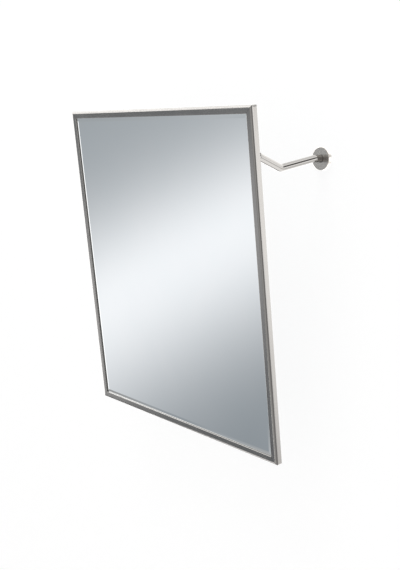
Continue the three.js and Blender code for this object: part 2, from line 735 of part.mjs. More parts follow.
// Countersunk screw through the wall plate into the plug: its head is at y = 0, its tip at -y.
function armScrewGeometry() {
  const length = WALL_PLATE_THICKNESS + PLUG_LENGTH - ARM_SCREW_SHY;
  const cone = ARM_SCREW_HEAD_RADIUS - ARM_SCREW_RADIUS;
  const body = turned([
    [0, 0],
    [ARM_SCREW_HEAD_RADIUS, 0],
    [ARM_SCREW_HEAD_RADIUS, -SINK_LAND],
    [ARM_SCREW_RADIUS, -SINK_LAND - cone],
    [ARM_SCREW_RADIUS, -length],
    [0, -length],
  ], SMALL_ROUND);
  return cut(body, hexBar(ARM_SCREW_SOCKET, -ARM_SCREW_SOCKET_DEPTH, length));
}

// Disc with a countersunk hole for the arm screw at its back, and three for wall screws in front.
function wallPlateGeometry() {
  const disc = bar(WALL_PLATE_RADIUS, -WALL_PLATE_THICKNESS, 0, ROUND);
  const front = countersinkTool(WALL_SINK_RADIUS, WALL_HOLE_RADIUS, 2 * WALL_PLATE_THICKNESS);
  const back = countersinkTool(
    ARM_SCREW_HEAD_RADIUS + SEAT_GAP,
    ARM_SCREW_RADIUS + SEAT_GAP,
    2 * WALL_PLATE_THICKNESS,
  ).rotateX(HALF_TURN);
  const holes = Array.from({ length: WALL_HOLES }, (_, i) => {
    const angle = QUARTER + FULL_TURN * i / WALL_HOLES;
    const x = WALL_HOLE_CIRCLE * Math.cos(angle);
    const z = WALL_HOLE_CIRCLE * Math.sin(angle);
    return front.clone().translate(x, -WALL_PLATE_THICKNESS, z);
  });
  return cut(disc, back, ...holes);
}

// Spun cover: a shallow cup with a rounded edge and a hole for the tube.
function rosetteGeometry() {
  const hole = TUBE_RADIUS + SEAT_GAP;
  const front = -ROSETTE_DEPTH;
  const edgeInside = Math.max(ROSETTE_EDGE - ROSETTE_SHEET, 0);
  const centre = [ROSETTE_RADIUS - ROSETTE_EDGE, front + ROSETTE_EDGE];
  const arc = (radius) => Array.from({ length: BEND_STEPS + 1 }, (_, step) => {
    const angle = QUARTER * step / BEND_STEPS;
    return [centre[0] + radius * Math.sin(angle), centre[1] - radius * Math.cos(angle)];
  });
  return turned([
    [hole, front],
    ...arc(ROSETTE_EDGE),
    [ROSETTE_RADIUS, -ROSETTE_LIFT],
    [ROSETTE_RADIUS - ROSETTE_SHEET, -ROSETTE_LIFT],
    ...arc(edgeInside).reverse(),
    [hole, front + ROSETTE_SHEET],
  ], ROUND);
}

function wallPieces(word) {
  const plugHole = ARM_SCREW_RADIUS + PIVOT_GAP;
  const plugStart = -WALL_PLATE_THICKNESS;
  const plug = ring(plugHole, SHANK_RADIUS, plugStart - PLUG_LENGTH, plugStart, ROUND);
  return [
    piece(`wall_plate_${word}`, wallPlateGeometry(), zincSheet),
    piece(`cover_rosette_${word}`, rosetteGeometry(), satinSteel),
    piece(`arm_plug_${word}`, plug, zincFastener),
    piece(`arm_screw_${word}`, armScrewGeometry(), zincFastener, [0, -SEAT_GAP, 0]),
  ];
}

// ---- Assembly ---------------------------------------------------------------------------

function wallArm(side, word) {
  const arm = new THREE.Group();
  arm.position.x = side * ARM_X;
  arm.add(
    piece(`arm_tube_${word}`, tubeGeometry(), satinSteel),
    eyePieces(side, word),
    ...wallPieces(word),
  );
  return arm;
}

// The framed mirror hangs in a group that turns about the pivot axis. Inside it, the panel's
// origin is the middle of the frame's top edge, in the plane of its face.
function tiltingMirror() {
  const panel = new THREE.Group();
  panel.position.set(0, -PIVOT_DEPTH, PIVOT_DROP);
  panel.add(
    ...frameRails(),
    ...cornerKeys(),
    ...glassAndBacking(),
    ...bracketsAndRivets(),
    ...pivotFasteners(-1, 'left'),
    ...pivotFasteners(1, 'right'),
    ...buffers(),
  );
  const swing = new THREE.Group();
  swing.position.set(0, -PIVOT_REACH, PIVOT_RISE);
  swing.rotation.x = REST_TILT;
  swing.add(panel);
  return swing;
}

const pivotMirror = new THREE.Group();
pivotMirror.add(wallArm(-1, 'left'), wallArm(1, 'right'), tiltingMirror());

export default pivotMirror;
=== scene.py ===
# %% [markdown]
# # A pivot wall mirror
# A framed glass tilts on two bent steel tubes that stand out from the wall. The shape and the
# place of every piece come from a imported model, the frame. This script dresses that frame: it
# makes finer meshes where the light would show a facet, and gives each piece its finish.

# %% Load the frame
import json
import math

import bmesh
import bpy
from mathutils import Matrix, Vector

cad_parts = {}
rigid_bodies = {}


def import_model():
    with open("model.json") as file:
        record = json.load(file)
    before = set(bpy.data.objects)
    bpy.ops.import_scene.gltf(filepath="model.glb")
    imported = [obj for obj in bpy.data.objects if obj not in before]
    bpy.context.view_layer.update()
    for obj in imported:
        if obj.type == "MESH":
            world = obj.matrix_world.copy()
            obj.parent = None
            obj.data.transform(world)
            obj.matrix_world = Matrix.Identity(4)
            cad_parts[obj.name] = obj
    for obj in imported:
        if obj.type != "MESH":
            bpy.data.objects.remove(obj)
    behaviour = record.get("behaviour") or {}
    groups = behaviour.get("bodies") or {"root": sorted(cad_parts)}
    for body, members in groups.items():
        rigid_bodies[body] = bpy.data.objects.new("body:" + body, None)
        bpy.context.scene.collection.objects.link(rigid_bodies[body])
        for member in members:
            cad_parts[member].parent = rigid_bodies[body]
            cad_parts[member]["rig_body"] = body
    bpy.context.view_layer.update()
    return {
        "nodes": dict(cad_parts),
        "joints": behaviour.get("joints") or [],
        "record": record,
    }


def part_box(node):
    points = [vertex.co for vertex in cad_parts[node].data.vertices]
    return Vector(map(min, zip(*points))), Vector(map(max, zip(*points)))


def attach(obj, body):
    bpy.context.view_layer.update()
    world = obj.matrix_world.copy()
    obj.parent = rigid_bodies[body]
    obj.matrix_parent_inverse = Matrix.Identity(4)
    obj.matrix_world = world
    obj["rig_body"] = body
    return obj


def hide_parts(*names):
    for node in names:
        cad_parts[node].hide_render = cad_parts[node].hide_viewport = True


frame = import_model()
nodes = frame["nodes"]
pivot = Vector(frame["joints"][0]["pos_m"])
print(f"{len(nodes)} nodes, pivot at {tuple(round(x, 4) for x in pivot)}")

# %% [markdown]
# ## Where things are
# The mirror leans out from the wall, so it is easier to think in its own axes. The front of the
# glass is the largest flat in its mesh, and that flat's normal gives the lean. `panel` then
# turns the mirror's own axes into the room's: x across, y back from the face, z up from the
# top edge.

# %% Read the lean and the size of the mirror
MM = 0.001
RAILS = ("frame_top_rail", "frame_bottom_rail", "frame_left_stile", "frame_right_stile")


def box_in(matrix, *names):
    """Lowest and highest corner of nodes, along the axes of a matrix."""
    inverse = matrix.inverted()
    points = [inverse @ vertex.co for name in names for vertex in nodes[name].data.vertices]
    low = Vector([min(point[axis] for point in points) for axis in range(3)])
    high = Vector([max(point[axis] for point in points) for axis in range(3)])
    return low, high


field = max(
    (face for face in nodes["mirror_glass"].data.polygons if face.normal.y < 0),
    key=lambda face: face.area,
)
lean = math.atan2(-field.normal.z, -field.normal.y)
turned = Matrix.Rotation(lean, 4, "X")
low, high = box_in(turned, *RAILS)
panel = turned @ Matrix.Translation((0, low.y, high.z))
WIDTH = high.x - low.x
HEIGHT = high.z - low.z
FRAME_DEPTH = high.y - low.y
ARM_X = sum(corner.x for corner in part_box("arm_tube_right")) / 2
size = " x ".join(f"{length / MM:.1f}" for length in (WIDTH, HEIGHT, FRAME_DEPTH))
print(f"lean {math.degrees(lean):.1f} deg, {size} mm")

# %% [markdown]
# ## The camera
# The photograph was taken from the right and a little above, close enough for the frame's far
# side to look smaller. A camera could be aimed by a constraint, but a place and two angles are
# plainer, and they were fitted to the corners of the frame and the arm. A portrait picture puts
# the 36 mm side of the sensor along its height.

# %% Set the camera
SENSOR = 36
LENS = 57.26
CAMERA_PLACE = (1.3358, -1.1444, 0.0390)
LOOK_DOWN = 9.368
LOOK_LEFT = 51.335

camera_data = bpy.data.cameras.new("camera")
camera_data.sensor_width = SENSOR
camera_data.lens = LENS
camera = bpy.data.objects.new("camera", camera_data)
camera.location = CAMERA_PLACE
camera.rotation_euler = (math.radians(90 - LOOK_DOWN), 0, math.radians(LOOK_LEFT))
bpy.context.scene.collection.objects.link(camera)
bpy.context.scene.camera = camera
print(f"camera {camera.location.length:.2f} m from the middle of the wall plates")

# %% [markdown]
# ## Making a mesh
# Bent sheet, tube and turned parts could be pulled into shape by hand in Edit Mode. Here each is
# a list of points and faces from a formula, so its sizes stay plain to read. Cleaning merges
# points that fall together and turns the faces outward. Flats have to look flat and bends
# round, so edges sharper than a set angle are marked sharp, and a Weighted Normal modifier lets
# the large faces decide how the small ones beside them are shaded.

# %% Mesh helpers
SHARP_EDGE = math.radians(32)
SAME_POINT = 0.001 * MM


def smooth(piece, angle=SHARP_EDGE):
    """Round shading that stops at sharp edges and leaves large flats flat."""
    mesh = piece.data
    mesh.polygons.foreach_set("use_smooth", [True] * len(mesh.polygons))
    mesh.set_sharp_from_angle(angle=angle)
    weighted = piece.modifiers.new("weighted normals", "WEIGHTED_NORMAL")
    weighted.keep_sharp = True
    return piece


def make(name, points, faces, matrix=Matrix.Identity(4), grain=None, sharp=SHARP_EDGE):
    """A piece from points and faces, with the grain's own coordinates on each point."""
    mesh = bpy.data.meshes.new(name)
    mesh.from_pydata([tuple(point) for point in points], [], faces)
    along = mesh.attributes.new("grain", "FLOAT_VECTOR", "POINT")
    along.data.foreach_set("vector", [value for point in (grain or points) for value in point])
    work = bmesh.new()
    work.from_mesh(mesh)
    bmesh.ops.remove_doubles(work, verts=work.verts, dist=SAME_POINT)
    bmesh.ops.dissolve_degenerate(work, edges=work.edges, dist=SAME_POINT)
    bmesh.ops.recalc_face_normals(work, faces=work.faces)
    work.to_mesh(mesh)
    work.free()
    piece = bpy.data.objects.new(name, mesh)
    piece.matrix_world = matrix
    bpy.context.scene.collection.objects.link(piece)
    return smooth(piece, sharp)


print(f"edges over {math.degrees(SHARP_EDGE):.0f} deg stay sharp")

# %% [markdown]
# ## Effects that several finishes share
# Brushing and handling marks show on more than one finish. The same nodes could be copied into
# each material, but then every change has to be made everywhere. A node group is a small
# machine with named inputs and outputs: built once, it is placed in each material with its own
# values. These helpers add groups, nodes and sums in one line each.

# %% Group helpers
def new_group(name, inputs, outputs):
    """An empty shader group, and the nodes at which its inputs and outputs arrive."""
    group = bpy.data.node_groups.new(name, "ShaderNodeTree")
    for label, kind, value in inputs:
        socket = group.interface.new_socket(label, in_out="INPUT", socket_type=kind)
        if value is not None:
            socket.default_value = value
    for label, kind in outputs:
        group.interface.new_socket(label, in_out="OUTPUT", socket_type=kind)
    return group, group.nodes.new("NodeGroupInput"), group.nodes.new("NodeGroupOutput")


def add(tree, kind, settings=None, **values):
    """A node of a kind. Its inputs go by name, or by number as n0, n1 and so on."""
    node = tree.nodes.new(kind)
    for key, value in (settings or {}).items():
        setattr(node, key, value)
    for key, value in values.items():
        numbered = key[0] == "n" and key[1:].isdigit()
        socket = node.inputs[int(key[1:]) if numbered else key.replace("_", " ")]
        if isinstance(value, bpy.types.NodeSocket):
            tree.links.new(value, socket)
        else:
            socket.default_value = value
    return node


def math_node(tree, operation, first, second=0.0, third=0.0):
    """The result of one sum."""
    sum_node = add(tree, "ShaderNodeMath", {"operation": operation}, n0=first, n1=second, n2=third)
    return sum_node.outputs[0]


def spread(tree, value, low, high):
    """A value from 0 to 1 spread between two ends."""
    return add(tree, "ShaderNodeMapRange", Value=value, To_Min=low, To_Max=high).outputs["Result"]


FLOAT, VECTOR = "NodeSocketFloat", "NodeSocketVector"
print(f"group sockets: {FLOAT}, {VECTOR}")

# %% [markdown]
# Brushing drags fine grit along the metal. A picture of scratches could be laid on, but it
# repeats and shows its seams. A noise that is stretched more than a hundredfold along the grain
# looks the same and never repeats. Two noises of different width are mixed, because grit has
# more than one size.

# %% Group: brushed streaks
BROAD_SCALE = (0.5, 0.16, 0.16)

streaks, inside, outside = new_group(
    "brushed streaks",
    [
        ("Grain", VECTOR, None), ("Along", FLOAT, 30.0), ("Across", FLOAT, 4000.0),
        ("Broad", FLOAT, 0.4),
    ],
    [("Streaks", FLOAT)],
)
fine_scale = add(
    streaks, "ShaderNodeCombineXYZ",
    X=inside.outputs["Along"], Y=inside.outputs["Across"], Z=inside.outputs["Across"],
).outputs[0]
fine_place = add(
    streaks, "ShaderNodeVectorMath", {"operation": "MULTIPLY"},
    n0=inside.outputs["Grain"], n1=fine_scale,
).outputs[0]
broad_place = add(
    streaks, "ShaderNodeVectorMath", {"operation": "MULTIPLY"}, n0=fine_place, n1=BROAD_SCALE,
).outputs[0]
fine = add(streaks, "ShaderNodeTexNoise", Vector=fine_place, Scale=1.0, Detail=3.0, Roughness=0.6)
broad = add(streaks, "ShaderNodeTexNoise", Vector=broad_place, Scale=1.0, Detail=2.0, Roughness=0.5)
mixed = add(
    streaks, "ShaderNodeMix",
    Factor=inside.outputs["Broad"], n2=fine.outputs[0], n3=broad.outputs[0],
).outputs[0]
streaks.links.new(mixed, outside.inputs["Streaks"])
print(f"{streaks.name}: {len(streaks.nodes)} nodes")

# %% [markdown]
# Handling and cleaning leave soft clouds in the gloss of any surface, from a few millimetres
# wide on a screw to a hand's width on a sheet. They could be painted as a mask for each piece.
# A noise whose ends are eased is enough, since nobody looks for one cloud in its place.

# %% Group: handled clouds
clouds, inside, outside = new_group(
    "handled clouds", [("Place", VECTOR, None), ("Size", FLOAT, 0.05)], [("Clouds", FLOAT)],
)
cloud_scale = math_node(clouds, "DIVIDE", 1.0, inside.outputs["Size"])
cloud = add(
    clouds, "ShaderNodeTexNoise",
    Vector=inside.outputs["Place"], Scale=cloud_scale, Detail=4.0, Roughness=0.55, Distortion=0.4,
)
eased = add(
    clouds, "ShaderNodeMapRange", {"interpolation_type": "SMOOTHSTEP"},
    Value=cloud.outputs[0], From_Min=0.3, From_Max=0.7,
).outputs["Result"]
clouds.links.new(eased, outside.inputs["Clouds"])
print(f"{clouds.name}: {len(clouds.nodes)} nodes")

# %% [markdown]
# Hot-dip zinc freezes in crystals, the spangle. A photograph of zinc would repeat over a plate
# of this size. Voronoi cells have the outline of such crystals, a noise bends their straight
# sides, and the grey that each cell gets makes it a flake. As a group, it keeps the sheet's own
# material short.

# %% Group: zinc spangle
FLAKE_BEND = (0.004, 0.004, 0.004)

spangle, inside, outside = new_group(
    "zinc spangle", [("Place", VECTOR, None), ("Flake", FLOAT, 0.006)], [("Flakes", FLOAT)],
)
flake_scale = math_node(spangle, "DIVIDE", 1.0, inside.outputs["Flake"])
bend = add(spangle, "ShaderNodeTexNoise", Vector=inside.outputs["Place"], Scale=90.0, Detail=2.0)
shifted = add(
    spangle, "ShaderNodeVectorMath", {"operation": "MULTIPLY_ADD"},
    n0=bend.outputs["Color"], n1=FLAKE_BEND, n2=inside.outputs["Place"],
).outputs[0]
cells = add(spangle, "ShaderNodeTexVoronoi", Vector=shifted, Scale=flake_scale)
flake = add(spangle, "ShaderNodeSeparateColor", Color=cells.outputs["Color"]).outputs[0]
spangle.links.new(flake, outside.inputs["Flakes"])
print(f"{spangle.name}: {len(spangle.nodes)} nodes")

# %% [markdown]
# ## Finishes
# Each finish is a Principled shader. Its plain numbers, such as metallic, stay on the shader,
# and only what changes over the surface is linked: colour, roughness and the height of a bump.

# %% Material helpers
def new_material(name, **plain):
    """A material, its tree and its Principled shader with plain values set."""
    material = bpy.data.materials.new(name)
    material.use_nodes = True
    tree = material.node_tree
    shader = tree.nodes["Principled BSDF"]
    for key, value in plain.items():
        shader.inputs[key.replace("_", " ")].default_value = value
    return material, tree, shader


def use_group(tree, group, **values):
    """The first output of a shared group, placed in this tree."""
    return add(tree, "ShaderNodeGroup", {"node_tree": group}, **values).outputs[0]


def tint(tree, factor, dark, light):
    """A colour between two, by a factor."""
    mix = add(tree, "ShaderNodeMix", {"data_type": "RGBA"}, Factor=factor)
    mix.inputs[6].default_value = (*dark, 1)
    mix.inputs[7].default_value = (*light, 1)
    return mix.outputs[2]


def linked(tree, shader, colour, roughness):
    """Lets a changing colour and roughness drive the shader."""
    tree.links.new(colour, shader.inputs["Base Color"])
    tree.links.new(roughness, shader.inputs["Roughness"])


def bumped(tree, shader, height, distance):
    """Lets a height stand out of the surface by a distance."""
    bump = add(tree, "ShaderNodeBump", Height=height, Distance=distance, Strength=1.0)
    tree.links.new(bump.outputs["Normal"], shader.inputs["Normal"])


def object_place(tree):
    """Where each point lies on its piece, in metres."""
    return add(tree, "ShaderNodeTexCoord").outputs["Object"]


print("material helpers ready")

# %% [markdown]
# Satin stainless steel is the finish of all the metal that shows: a warm grey, brushed along each
# length, and in circles on the spun rosettes. The rosettes' copy of this steel is painted over twice
# as light as the frame's, a painted highlight that stands in for the light on the cups. An
# anisotropic shader could stretch the highlights across the brushing, but it needs a direction that
# an export can lose. Here the streaks themselves change the roughness and the colour, and stand out
# as a fine bump.

# %% Finish: satin steel
BRUSH_DEPTH = 0.006 * MM
HANDLED_ROUGHNESS = 0.04


def satin_steel(name, dark, light, rough, across, along):
    """Brushed stainless steel whose streaks follow each piece's grain."""
    material, tree, shader = new_material(name, Metallic=1.0)
    grain = add(tree, "ShaderNodeAttribute", {"attribute_name": "grain"}).outputs["Vector"]
    lines = use_group(tree, streaks, Grain=grain, Along=along, Across=across, Broad=0.45)
    cloudy = use_group(tree, clouds, Place=grain, Size=0.06)
    grit = spread(tree, lines, *rough)
    handled = math_node(tree, "MULTIPLY_ADD", cloudy, HANDLED_ROUGHNESS, grit)
    linked(tree, shader, tint(tree, lines, dark, light), handled)
    bumped(tree, shader, lines, BRUSH_DEPTH)
    return material


frame_steel = satin_steel(
    "satin steel frame", dark=(0.252, 0.244, 0.236), light=(0.362, 0.351, 0.340),
    rough=(0.11, 0.19), across=2600, along=14,
)
tube_steel = satin_steel(
    "satin steel tube", dark=(0.245, 0.237, 0.229), light=(0.365, 0.354, 0.343),
    rough=(0.09, 0.16), across=3400, along=20,
)
# The same steel painted over twice as light as the frame's: painted light on the rosettes.
spun_steel_painted_lighter = satin_steel(
    "spun satin steel painted lighter", dark=(0.570, 0.540, 0.510), light=(0.740, 0.705, 0.668),
    rough=(0.18, 0.28), across=5200, along=20,
)
print("satin steel for frame, tubes and rosettes")

# %% [markdown]
# In a real mirror the light goes through the glass and comes back from the silver behind it.
# That could be built as clear glass over a silver sheet, with many bounces for the same
# picture. A metal that is almost free of roughness, with the faint cool tint of the glass,
# gives it at once. A trace of clouding keeps it from looking computed, far below what would
# blur a reflection.

# %% Finish: silvered glass
silver, tree, shader = new_material("silvered glass", Metallic=1.0)
cloudy = use_group(tree, clouds, Place=object_place(tree), Size=0.12)
cool = tint(tree, cloudy, (0.930, 0.952, 0.962), (0.945, 0.962, 0.970))
linked(tree, shader, cool, spread(tree, cloudy, 0.004, 0.012))
print("silvered glass")

# %% [markdown]
# Zinc covers the steel that the frame hides: spangled on sheet, and fine and bright on screws,
# nuts and pins. One zinc could serve both, but a screw is smaller than a flake of spangle, so
# the fasteners get a fine speckle instead.

# %% Finish: zinc sheet and plated fasteners
ZINC_DEPTH = 0.01 * MM
DULLED_ROUGHNESS = 0.12

zinc_sheet, tree, shader = new_material("spangled zinc sheet", Metallic=1.0)
place = object_place(tree)
flakes = use_group(tree, spangle, Place=place, Flake=0.009)
cloudy = use_group(tree, clouds, Place=place, Size=0.08)
grey = tint(tree, flakes, (0.215, 0.225, 0.233), (0.310, 0.322, 0.332))
flake_rough = spread(tree, flakes, 0.36, 0.52)
rough = math_node(tree, "MULTIPLY_ADD", cloudy, DULLED_ROUGHNESS, flake_rough)
linked(tree, shader, grey, rough)
bumped(tree, shader, flakes, ZINC_DEPTH)

zinc_fastener, tree, shader = new_material("bright zinc plate", Metallic=1.0)
place = object_place(tree)
cloudy = use_group(tree, clouds, Place=place, Size=0.004)
speckle = add(tree, "ShaderNodeTexNoise", Vector=place, Scale=2500.0, Detail=2.0).outputs[0]
grey = tint(tree, cloudy, (0.25, 0.258, 0.265), (0.32, 0.327, 0.33))
linked(tree, shader, grey, spread(tree, cloudy, 0.22, 0.38))
bumped(tree, shader, speckle, ZINC_DEPTH)
print("zinc sheet and zinc plate")

# %% [markdown]
# The rest is soft or moulded: closed-cell foam behind the glass, rubber buffers, and the nylon
# bushes of the pivot. Pores and pebbling could be modelled, but they are finer than a millimetre, so
# a bump from a Voronoi or a noise shows them just as well. The foam's grey is also darker in each
# pore, a painted shade.

# %% Finish: foam, rubber and nylon
PORE_DEPTH = 0.15 * MM
PEBBLE_DEPTH = 0.03 * MM

foam, tree, shader = new_material("grey foam", Metallic=0.0)
place = object_place(tree)
pores_and_pore_shade = add(tree, "ShaderNodeTexVoronoi", Vector=place, Scale=1400.0).outputs["Distance"]
# The grey darkens where each pore sinks: painted shade in the pores.
grey = tint(tree, pores_and_pore_shade, (0.06, 0.063, 0.068), (0.115, 0.12, 0.127))
linked(tree, shader, grey, spread(tree, pores_and_pore_shade, 0.85, 1.0))
bumped(tree, shader, pores_and_pore_shade, PORE_DEPTH)

rubber, tree, shader = new_material("black rubber", Metallic=0.0, Specular_IOR_Level=0.35)
place = object_place(tree)
cloudy = use_group(tree, clouds, Place=place, Size=0.006)
pebble = add(tree, "ShaderNodeTexNoise", Vector=place, Scale=3000.0, Detail=3.0).outputs[0]
black = tint(tree, cloudy, (0.012, 0.012, 0.013), (0.030, 0.030, 0.031))
linked(tree, shader, black, spread(tree, cloudy, 0.55, 0.8))
bumped(tree, shader, pebble, PEBBLE_DEPTH)

nylon, tree, shader = new_material("white nylon", Metallic=0.0, IOR=1.53)
cloudy = use_group(tree, clouds, Place=object_place(tree), Size=0.005)
ivory = tint(tree, cloudy, (0.70, 0.69, 0.64), (0.78, 0.77, 0.72))
linked(tree, shader, ivory, spread(tree, cloudy, 0.38, 0.52))
print("foam, rubber and nylon")

# %% [markdown]
# ## The frame rails
# The frame is roll-formed channel: one strip of steel bent round the edge of the glass. A box
# with bevelled edges would look much the same from the front, but the lip over the glass and
# the flange at the back show from the side. So the strip is drawn once as a section, in points
# of (inset from the outer edge, depth behind the face), first round its outside and then back
# along its inside.

# %% Section of the channel
SHEET = 0.8 * MM
FACE_WIDTH = 13.5 * MM
LIP_DEPTH = 2.2 * MM
LIP_RADIUS = 1.0 * MM
BEND_RADIUS = 5.0 * MM
BACK_BEND_RADIUS = 2.0 * MM
BACK_FLANGE = 10.0 * MM
MITRE_STEP = 0.3 * MM / math.sqrt(2)
CORNER_RADIUS = 3.0 * MM
BEND_STEPS = 12
CORNER_STEPS = 8


def arc(centre, radius, start, end, steps):
    """Points of an arc, with the angles in quarter turns."""
    angles = [math.pi / 2 * (start + (end - start) * step / steps) for step in range(steps + 1)]
    return [(centre[0] + radius * math.cos(a), centre[1] + radius * math.sin(a)) for a in angles]


def channel_section():
    """The section's points, closed at the back flange and at the lip."""
    lip = (FACE_WIDTH - LIP_RADIUS, LIP_RADIUS)
    bend = (BEND_RADIUS, BEND_RADIUS)
    back = (BACK_BEND_RADIUS, FRAME_DEPTH - BACK_BEND_RADIUS)
    outside_points = [
        (FACE_WIDTH, LIP_DEPTH),
        *arc(lip, LIP_RADIUS, 0, -1, BEND_STEPS),
        *arc(bend, BEND_RADIUS, -1, -2, BEND_STEPS),
        *arc(back, BACK_BEND_RADIUS, 2, 1, BEND_STEPS),
        (BACK_FLANGE, FRAME_DEPTH),
    ]
    inside_points = [
        (BACK_FLANGE, FRAME_DEPTH - SHEET),
        *arc(back, BACK_BEND_RADIUS - SHEET, 1, 2, BEND_STEPS),
        *arc(bend, BEND_RADIUS - SHEET, 2, 3, BEND_STEPS),
        *arc(lip, LIP_RADIUS - SHEET, -1, 0, BEND_STEPS),
        (FACE_WIDTH - SHEET, LIP_DEPTH),
    ]
    return outside_points + inside_points


print(f"channel section of {len(channel_section())} points")

# %% [markdown]
# The rails meet on mitres, and their outer corners are ground round. A curve with this section
# as its bevel would end square and need cutting. Here rings of the section are set along the
# rail instead: near an end each ring is clipped to the corner's arc, and the last one lies on
# the mitre, a hair short of the next rail, which leaves the fine line that a real mitre shows.

# %% A rail from the section
def rail(name, length, matrix):
    """A rail along its own x, its outer edge at z = 0 and its face at y = 0."""
    section = channel_section()
    turns = [math.pi / 2 - math.pi / 4 * step / CORNER_STEPS for step in range(CORNER_STEPS + 1)]
    centre = length / 2 - CORNER_RADIUS
    half = [
        (centre + CORNER_RADIUS * math.cos(turn), CORNER_RADIUS * (1 - math.sin(turn)))
        for turn in turns
    ]
    stations = [(-reach, clip) for reach, clip in reversed(half)] + half
    points = []
    for station, (reach, clip) in enumerate(stations):
        on_mitre = station in (0, len(stations) - 1)
        for inset, depth in section:
            kept = max(inset, clip)
            mitre = length / 2 - kept - MITRE_STEP
            end = mitre if on_mitre else min(abs(reach), mitre)
            points.append((math.copysign(end, reach), depth, -kept))
    count = len(section)
    faces = [list(range(count)), [len(points) - 1 - i for i in range(count)]]
    for ring in range(len(stations) - 1):
        for i in range(count):
            here, after = ring * count + i, ring * count + (i + 1) % count
            faces.append((here, after, after + count, here + count))
    return make(name, points, faces, matrix)


def turn_to(x, z, angle):
    """A place on the mirror, turned in its plane by quarter turns."""
    return panel @ Matrix.Translation((x, 0, z)) @ Matrix.Rotation(math.pi / 2 * angle, 4, "Y")


print(f"outer corners ground to {CORNER_RADIUS / MM:.0f} mm")

# %% [markdown]
# All four rails come from the same section. Each could be drawn in its own place, but it is simpler
# to draw it level and then turn it by quarter turns, as a fitter turns lengths of one channel. A
# finished rail then stands for its node of the frame: it moves with the same body, takes its finish,
# and hides the node's plainer mesh.

# %% Sweep the four rails
node_slot = {part["node"]: part["material_slot"] for part in frame["record"]["subparts"]}


def stand_for(piece, node, material):
    """The piece takes a node's place and body, and a finish."""
    piece.data.materials.clear()
    piece.data.materials.append(material)
    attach(piece, nodes[node]["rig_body"])
    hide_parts(node)
    return piece


rails = {
    "frame_top_rail": rail("satin_top_rail", WIDTH, turn_to(0, 0, 0)),
    "frame_bottom_rail": rail("satin_bottom_rail", WIDTH, turn_to(0, -HEIGHT, 2)),
    "frame_left_stile": rail("satin_left_stile", HEIGHT, turn_to(-WIDTH / 2, -HEIGHT / 2, -1)),
    "frame_right_stile": rail("satin_right_stile", HEIGHT, turn_to(WIDTH / 2, -HEIGHT / 2, 1)),
}
for node, piece in rails.items():
    stand_for(piece, node, frame_steel)
print(f"{len(rails)} rails of {len(piece.data.polygons)} faces")
print(f"slots in use: {sorted(set(node_slot.values()))}")

# %% [markdown]
# ## The arms
# Each arm is one tube that leaves the wall square, slopes down to a tight elbow and rises to
# the pivot. Its route could be a curve pulled into place by its handles. A few corners, each
# rounded by an arc of known radius, are closer to how a tube bender is set up.

# %% Route of an arm
STUB_REACH = 22.0 * MM
STUB_BEND = 14.0 * MM
ELBOW_REACH = 100.0 * MM
ELBOW_DROP = 14.0 * MM
ELBOW_RADIUS = 9.0 * MM
TUBE_END = 13.0 * MM


def rounded_corner(before, corner, after, radius):
    """Points of an arc that rounds one corner of a route in y and z."""
    back = (before - corner).normalized()
    ahead = (after - corner).normalized()
    half = back.angle(ahead) / 2
    middle = corner + (back + ahead).normalized() * radius / math.sin(half)
    spoke = (corner - middle).normalized() * radius
    axis = back.cross(ahead).normalized()
    sweep = math.pi - 2 * half
    turns = [sweep * (step / BEND_STEPS - 0.5) for step in range(BEND_STEPS + 1)]
    return [middle + Matrix.Rotation(-turn, 3, axis) @ spoke for turn in turns]


def arm_route():
    """Corners and bends of an arm's centre line, from the wall plate to the tube's open end."""
    wall = Vector((0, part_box("arm_tube_right")[1].y, 0))
    stub = Vector((0, -STUB_REACH, 0))
    elbow = Vector((0, -ELBOW_REACH, -ELBOW_DROP))
    end = pivot + (elbow - pivot).normalized() * TUBE_END
    first = rounded_corner(wall, stub, elbow, STUB_BEND)
    second = rounded_corner(stub, elbow, pivot, ELBOW_RADIUS)
    return [wall, *first, *second, end]


print(f"arm's route of {len(arm_route())} points")

# %% [markdown]
# A curve's own bevel would give a tube in one step. Rings of points are set square to the route
# instead, because they can carry the grain's coordinates round the bends. At a bend a ring lies
# on the bisector, so the tube keeps its width. The rings run out along the skin and back
# through the bore, with the edges broken at both ends.

# %% Sweep the two tubes
SIDES = {"left": -1, "right": 1}
TUBE_RADIUS = 6.35 * MM
TUBE_WALL = 1.0 * MM
TUBE_SIDES = 72
EDGE_BREAK = 0.25 * MM


def tube(name, route, matrix):
    """A round tube along a route, with its edges broken at both ends."""
    lengths = [0.0]
    for here, after in zip(route, route[1:]):
        lengths.append(lengths[-1] + (after - here).length)
    headings = [(after - here).normalized() for here, after in zip(route, route[1:])]
    headings = [headings[0], *headings, headings[-1]]
    bore = TUBE_RADIUS - TUBE_WALL
    last = len(route) - 1
    rings = [(0, EDGE_BREAK, TUBE_RADIUS)]
    rings += [(i, 0, TUBE_RADIUS) for i in range(1, last)]
    rings += [(last, -EDGE_BREAK, TUBE_RADIUS), (last, 0, TUBE_RADIUS - EDGE_BREAK), (last, 0, bore)]
    rings += [(i, 0, bore) for i in range(last - 1, -1, -1)]
    rings += [(0, 0, TUBE_RADIUS - EDGE_BREAK)]
    points, grain = [], []
    for i, shift, radius in rings:
        before, after = headings[i], headings[i + 1]
        across = (before + after).normalized()
        stretch = 1 / across.dot(after)
        centre = route[i] + after * shift
        up = Vector((0, -across.z, across.y))
        for k in range(TUBE_SIDES):
            angle = 2 * math.pi * k / TUBE_SIDES
            level = Vector((radius * math.cos(angle), 0, 0))
            points.append(centre + level + up * radius * math.sin(angle) * stretch)
            grain.append((lengths[i] + shift, radius * math.cos(angle), radius * math.sin(angle)))
    faces = []
    for ring in range(len(rings)):
        for k in range(TUBE_SIDES):
            here, beside = ring * TUBE_SIDES + k, ring * TUBE_SIDES + (k + 1) % TUBE_SIDES
            ahead = (ring + 1) % len(rings) * TUBE_SIDES - ring * TUBE_SIDES
            faces.append((here, beside, beside + ahead, here + ahead))
    return make(name, points, faces, matrix, grain)


